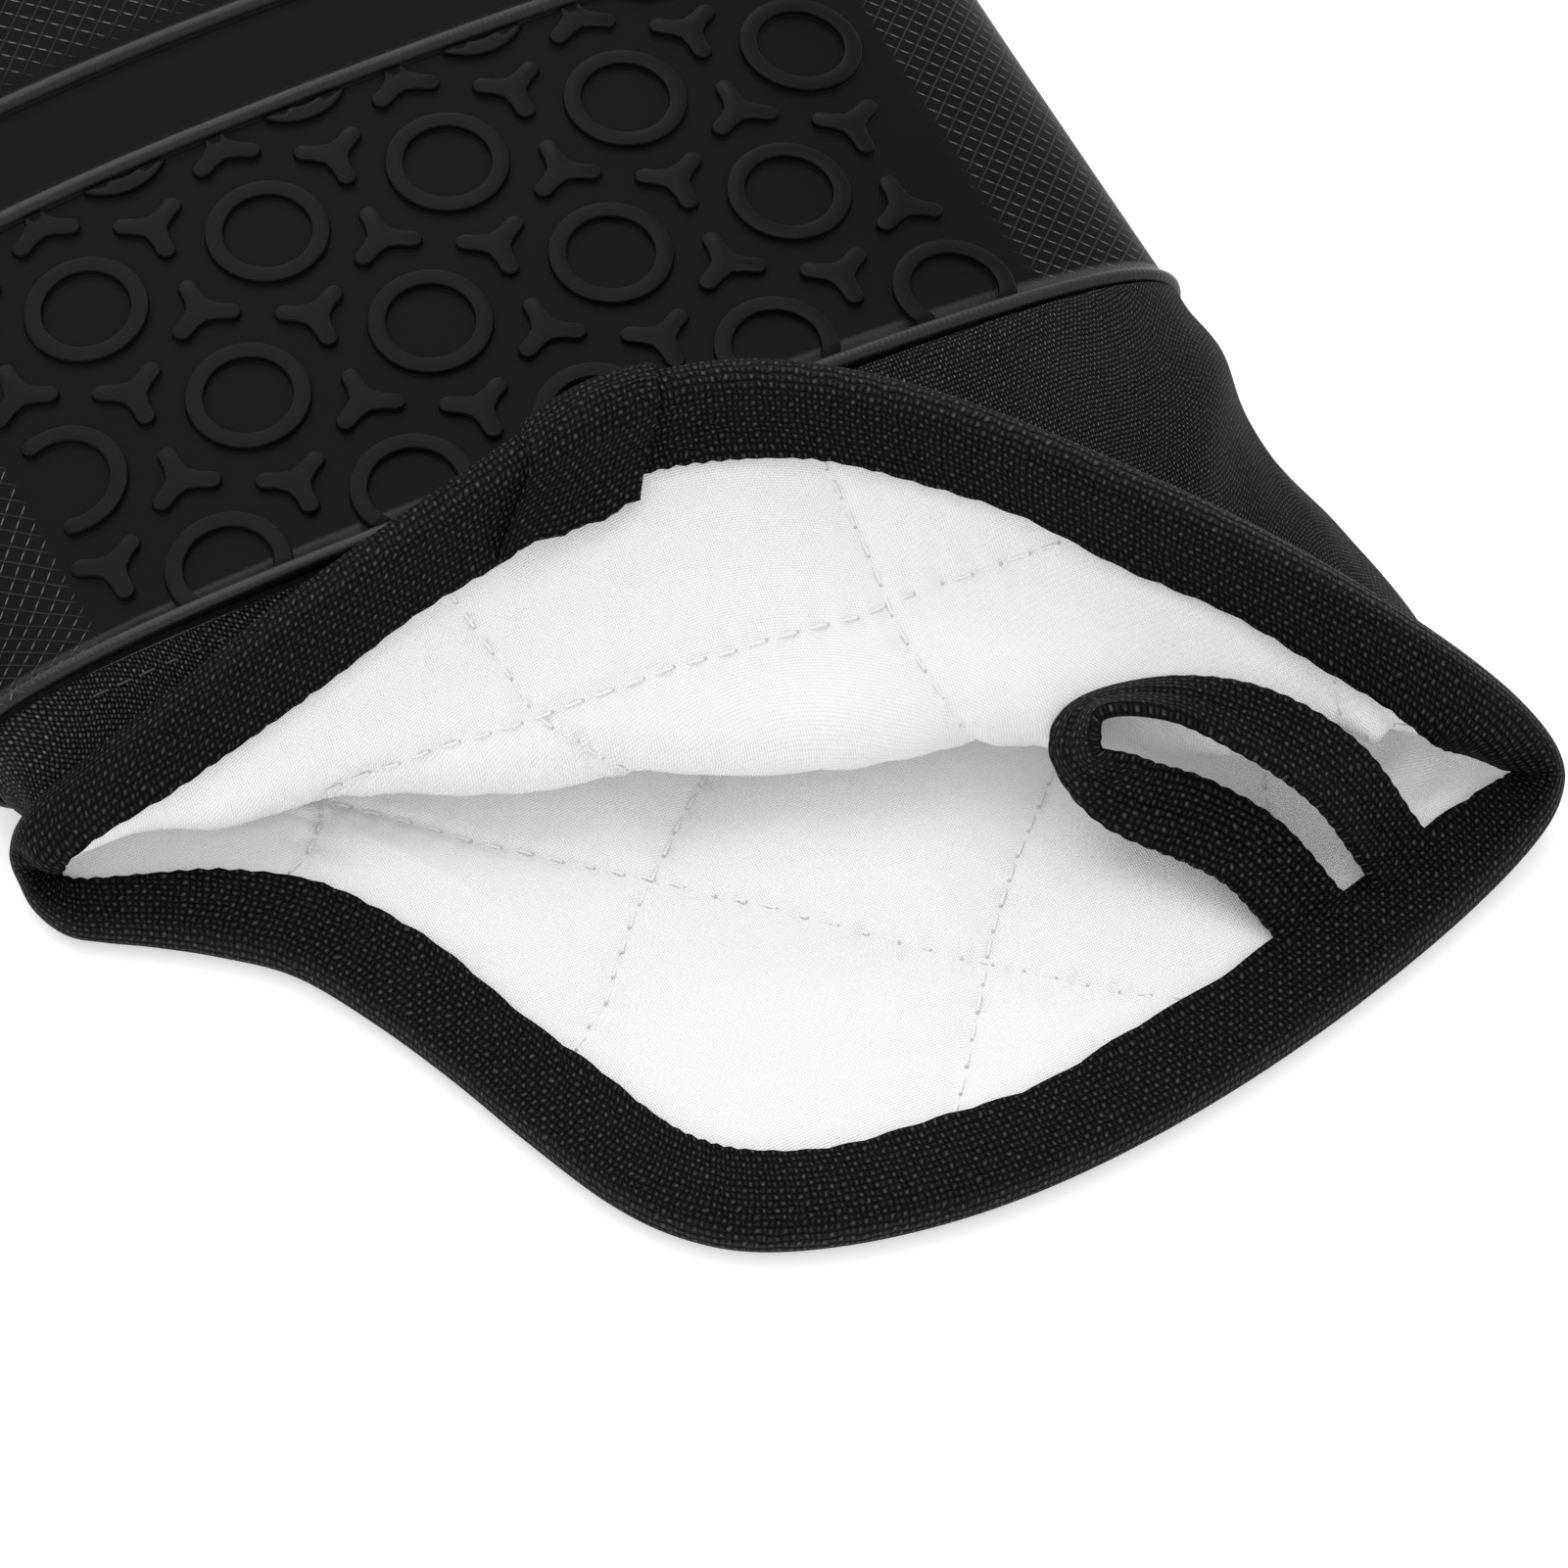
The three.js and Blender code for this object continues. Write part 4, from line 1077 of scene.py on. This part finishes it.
def tape_edge():
    """Scallops of the tape's edge and a slow wobble of its width, in millimetres past the leg."""
    scallop = SELVEDGE * np.abs(np.sin(math.pi * cuff.along[:-1] / SELVEDGE_PITCH))
    t = 2 * math.pi * cuff.along[:-1] / cuff.along[-1]
    return scallop + WOBBLE * sum(math.sin(phase) * np.sin(n * t + phase) for n, phase in WOBBLE_WAVES)


def tape_rows(low, high, crown, past):
    """Rows of one face of the tape: up the outside from the edge, over the rim, down the inside."""
    down = unit(cuff.points[:, LEG_ROWS] - cuff.points[:, LEG_ROWS - 1]) * tape_edge()[:, None]

    def leg_row(k, level, way):
        ring = cuff.at(k, way * (level + crown * math.sin(math.pi * min(k / LEG_ROWS + 0.15, 1))))
        return ring + down if k == LEG_ROWS else ring

    rows = [leg_row(k, low, -1) for k in range(LEG_ROWS, -1, -1)]
    v = [20 + cuff.distance[:, k] for k in range(LEG_ROWS, -1, -1)]
    for angle in (-60, -30, 0, 30, 60):
        a = math.radians(angle)
        ring = cuff.at(0, (high - low) / 2 + (high + low) / 2 * math.sin(a))
        rows.append(ring + cuff.past * (past * math.cos(a) * cuff.pinch)[:, None])
        v.append(np.full(cuff.count, 18 - angle / 30))
    rows += [leg_row(k, high, 1) for k in range(LEG_ROWS + 1)]
    v += [15 - cuff.distance[:, k] for k in range(LEG_ROWS + 1)]
    return rows, v


def crease_dip():
    """Narrow dips across the tape where it turns the mouth's corners."""
    dip = np.zeros(cuff.count)
    rows = len(MOUTH)
    for place, width, depth in CREASES:
        away = (cuff.place - place + rows / 2) % rows - rows / 2
        dip += depth * np.exp(-((away / width) ** 2))
    return dip


def build_tape():
    dip = crease_dip()
    face, v = tape_rows(TAPE_OUTSIDE + TAPE, TAPE_INSIDE + TAPE - dip, 0.22, GAP + TAPE)
    back, v_back = tape_rows(TAPE_OUTSIDE, TAPE_INSIDE, 0.0, GAP)
    rings = face + back[::-1]
    faces, uvs = grid(rings, cuff.along, v + v_back[::-1] + v[:1], close_rows=True)
    piece = outward(make_mesh("binding_tape", np.array(rings), faces, WEBBING, uvs))
    return dress(piece, "tape", "rim_binding")


# Tail of the tape: where it starts and ends round the rim, at its upper and its lower edge
TAIL_START = (4.5, 4.1)
TAIL_END = (5.4, 5.06)
TAIL_DROP = (-0.6, 2.6)
# Share of the tail's width that bends over the rim
TAIL_BEND = 0.3


def tail_section(share, lift):
    """A line of the tail from behind the rim to below the tape's inner edge."""
    high, low = TAPE_INSIDE + TAPE + lift, TAPE_OUTSIDE + TAPE + lift
    drop = TAIL_DROP[0] + (TAIL_DROP[1] - TAIL_DROP[0]) * smooth_step(share, 0.0, 0.75)
    ragged = 0.25 * math.sin(19 * share) + 0.15 * math.sin(47 * share)
    points = []
    for t in np.linspace(0, 1, 15):
        start = TAIL_START[0] + t * (TAIL_START[1] - TAIL_START[0])
        end = TAIL_END[0] + t * (TAIL_END[1] - TAIL_END[0])
        i = cuff.station((1 - share) * start + share * end)
        part = i - int(i)
        angle = math.radians(-70 + 160 * min(t / TAIL_BEND, 1))
        down = max(t - TAIL_BEND, 0) / (1 - TAIL_BEND) * (TAPE_LEG + drop + ragged)
        ends = []
        for n in (int(i), (int(i) + 1) % cuff.count):
            point = at_length(down, cuff.distance[n], cuff.points[n])
            inward = unit(at_length(down, cuff.distance[n], cuff.inward[n]))
            if t < TAIL_BEND:
                point = point + inward * ((high - low) / 2 + (high + low) / 2 * math.sin(angle))
                point = point + cuff.past[n] * (GAP + TAPE + lift) * math.cos(angle)
            else:
                point = point + inward * high
            ends.append(point)
        points.append(ends[0] * (1 - part) + ends[1] * part)
    return np.array(points)


def build_tail():
    """Loose end of the binding, folded over the rim on top of the tape."""
    shares = np.linspace(0, 1, 19)
    face, back = [], []
    for s in shares:
        ends = math.exp(-((s / 0.06) ** 2)) + math.exp(-(((1 - s) / 0.06) ** 2))
        puff = 0.35 * math.sin(math.pi * s) - 0.12 * ends
        face.append(tail_section(s, 0.3 + TAPE + puff))
        back.append(tail_section(s, 0.12))
    face, back = np.array(face), np.array(back)
    rows, columns = face.shape[:2]
    points = np.concatenate([face.reshape(-1, 3), back.reshape(-1, 3)])
    faces, uvs = [], []
    base = rows * columns
    across, along = face[:, columns // 2], face[rows // 2]
    u, v = running_length(across), running_length(along)
    for r in range(rows - 1):
        for k in range(columns - 1):
            quad = [(r, k), (r, k + 1), (r + 1, k + 1), (r + 1, k)]
            faces.append([a * columns + b for a, b in quad])
            uvs += [(u[a] + 3.3, v[b] + 0.4) for a, b in quad]
            faces.append([base + a * columns + b for a, b in quad[::-1]])
            uvs += [(u[a], v[b]) for a, b in quad[::-1]]
    edge = [(0, k) for k in range(columns)] + [(r, columns - 1) for r in range(1, rows)]
    edge += [(rows - 1, k) for k in range(columns - 2, -1, -1)] + [(r, 0) for r in range(rows - 2, 0, -1)]
    for n in range(len(edge)):
        a, b = edge[n], edge[(n + 1) % len(edge)]
        ia, ib = a[0] * columns + a[1], b[0] * columns + b[1]
        faces.append([ia, ib, base + ib, base + ia])
        uvs += [(n * 0.8, 0), (n * 0.8 + 0.8, 0), (n * 0.8 + 0.8, 0.9), (n * 0.8, 0.9)]
    piece = outward(make_mesh("tape_tail", points, faces, WEBBING, uvs))
    return dress(piece, "tape", "binding_end")


LOOP_WIDTH, LOOP_THICK, LOOP_SELVEDGE, LOOP_STEPS = 9.2, 1.7, 0.22, 240
# Hanging loop: centre line from the front root round the tip to the back root, and the way it faces
LOOP = [
    (51.4, -80.6, 4.6, -0.1, -0.1, 1),
    (49.8, -77.2, 5.4, -0.1, -0.2, 1),
    (46.2, -70.6, 11.0, -0.2, -0.3, 1),
    (41.6, -65.4, 13.8, -0.3, -0.6, 1),
    (35.4, -60.8, 17.0, -0.6, -0.9, 0.6),
    (31.6, -55.8, 20.6, -1, -0.4, 0),
    (35.2, -53.0, 23.6, 0.0, 0.7, 0.75),
    (43.2, -56.4, 24.4, 0.1, 0.45, 0.9),
    (51.0, -62.4, 22.0, 0.1, -0.1, 1),
    (57.4, -68.4, 16.2, 0.15, -0.45, 1),
    (61.4, -74.0, 7.6, 0.2, -0.4, 1),
    (63.2, -78.4, 4.4, 0.2, -0.4, 1),
]


def through(table, t):
    """Point of an open Catmull-Rom curve through a table of points, t from 0 to 1."""
    longer = np.vstack([2 * table[0] - table[1], table, 2 * table[-1] - table[-2]])
    x = min(max(t, 0), 1) * (len(table) - 1)
    i = min(int(x), len(table) - 2)
    return catmull_rom(longer[i : i + 4], x - i)


def loop_section():
    """Outline across the loop: place across in half widths, height in half thicknesses."""
    flat = np.linspace(-0.86, 0.86, 9)
    crease = [0.12 * math.cos(w * math.pi / 2) - 0.35 * math.exp(-((w / 0.08) ** 2)) for w in flat]
    section = [(w, 1.0 + c) for w, c in zip(flat, crease)]
    section += [(0.96, 0.7), (1.0, 0.0), (0.96, -0.7)]
    section += [(w, -1.0 - 0.1 * math.cos(w * math.pi / 2)) for w in flat[::-1]]
    return section + [(-0.96, -0.7), (-1.0, 0.0), (-0.96, 0.7)]


def build_loop():
    table = np.array(LOOP, float)
    path = np.array([through(table[:, :3], k / LOOP_STEPS) for k in range(LOOP_STEPS + 1)])
    facing = np.array([through(table[:, 3:], k / LOOP_STEPS) for k in range(LOOP_STEPS + 1)])
    along = unit(np.gradient(path, axis=0))
    facing = unit(facing - along * (facing * along).sum(-1, keepdims=True))
    side = unit(np.cross(along, facing))
    run = running_length(path)
    scallop = LOOP_SELVEDGE * np.abs(np.sin(math.pi * run / SELVEDGE_PITCH))
    section = loop_section()
    half, thick = LOOP_WIDTH / 2, LOOP_THICK / 2
    rings = []
    for w, h in section:
        reach = w * (half + scallop * (abs(w) > 0.9))
        rings.append(path + side * reach[:, None] + facing * (h * thick))
    rings = np.array(rings).transpose(1, 0, 2)
    width = len(section)
    lap = np.array([w * half if h >= 0 else 20 - w * half for w, h in section] + [section[0][0] * half])
    faces, uvs = [], []
    for n in range(LOOP_STEPS):
        band(faces, n * width, (n + 1) * width, width)
        for k in range(width):
            uvs += [(run[n], lap[k]), (run[n], lap[k + 1]), (run[n + 1], lap[k + 1]), (run[n + 1], lap[k])]
    for n in (0, LOOP_STEPS):
        faces.append([n * width + k for k in range(width)])
        uvs += [(run[n], lap[k]) for k in range(width)]
    piece = outward(make_mesh("loop_tape", rings, faces, WEBBING, uvs))
    return dress(piece, "tape", "hanging_loop")


def build_cuff_stitches():
    """Black thread that sews the woven cuff to the silicone, just below the bead."""
    points, faces, line, lifts = [], [], [], []
    field = cuff.points - cuff.inward * (FABRIC_WALL * cuff.pinch[:, None])[..., None]
    for place in np.linspace(*CUFF_STITCH_RUN, 600):
        i = int(cuff.station(place))
        d = cuff.distance[i]
        line.append(at_length(d[-1] - CUFF_STITCH_DOWN, d, field[i]))
        lifts.append(at_length(d[-1] - CUFF_STITCH_DOWN, d, -cuff.inward[i]))
    pitch, length = CUFF_STITCH_PITCH, CUFF_STITCH_LENGTH
    thread_run(np.array(line), np.array(lifts), pitch, length, CUFF_THREAD, points, faces)
    return dress(make_mesh("cuff_stitches", points, faces, THREAD_BLACK), "cuff")


# Scene, in metres

TABLE_SIZE, TABLE_TOP, TABLE_GLOW = 6, -0.0003, 0.42
ROOM_LIGHT = 0.95
LIGHT_TARGET = (0, -0.05, 0)
# Name, place, size and watts of each lamp
LAMPS = [
    ("key", (0.0, 0.5, 1.6), (1.6, 1.2), 10),
    ("front", (-0.5, -1.3, 1.1), (1.2, 1.0), 1.5),
    ("back", (0.1, 1.3, 1.0), (1.6, 0.3), 6),
]


def build_stage():
    white = Surface("table_white", (0.8, 0.8, 0.8), 0.9, 0.0)
    white.glow(TABLE_GLOW)
    bpy.ops.mesh.primitive_plane_add(size=TABLE_SIZE, location=(0, 0, TABLE_TOP))
    floor = bpy.context.object
    floor.name = "table"
    floor.data.materials.append(white.material)


def area_light(name, place, size, watts):
    light = bpy.data.lights.new(name, "AREA")
    light.shape = "RECTANGLE"
    light.size, light.size_y = size
    light.energy = watts
    lamp = bpy.data.objects.new(name, light)
    bpy.context.scene.collection.objects.link(lamp)
    lamp.location = place
    aim = mathutils.Vector(LIGHT_TARGET) - mathutils.Vector(place)
    lamp.rotation_euler = aim.to_track_quat("-Z", "Y").to_euler()


def build_lights():
    world = bpy.data.worlds.new("soft_room")
    bpy.context.scene.world = world
    world.use_nodes = True
    background = world.node_tree.nodes["Background"]
    background.inputs[0].default_value = (1.0, 1.0, 1.0, 1)
    background.inputs[1].default_value = ROOM_LIGHT
    for lamp in LAMPS:
        area_light(*lamp)
    bpy.context.scene.view_settings.view_transform = "Standard"


def build_camera():
    c, s = math.cos(CAMERA_TURN), math.sin(CAMERA_TURN)
    back = np.array([s * math.cos(CAMERA_RISE), -c * math.cos(CAMERA_RISE), math.sin(CAMERA_RISE)])
    level = np.array([c, s, 0.0])
    over = np.cross(back, level)
    right = level * math.cos(CAMERA_ROLL) + over * math.sin(CAMERA_ROLL)
    up = over * math.cos(CAMERA_ROLL) - level * math.sin(CAMERA_ROLL)
    data = bpy.data.cameras.new("camera")
    data.lens = CAMERA_LENS
    data.sensor_width = 36
    data.clip_start = 0.01
    camera = bpy.data.objects.new("camera", data)
    bpy.context.scene.collection.objects.link(camera)
    place = (CAMERA_LOOK + back * CAMERA_DISTANCE + SEAM_TO_ORIGIN) / 1000
    turn = mathutils.Matrix([list(v) for v in np.stack([right, up, back], 1)])
    camera.matrix_world = mathutils.Matrix.Translation(place) @ turn.to_4x4()
    bpy.context.scene.camera = camera


build_camera()
build_shell()
build_thumb()
build_relief()
fabric_piece = build_fabric()
lining_piece, lining_surface = build_lining()
build_quilt_stitches(lining_surface)
build_hole_shadows(lining_surface)
tape_piece = build_tape()
build_tail()
build_loop()
build_cuff_stitches()
build_stage()
build_lights()
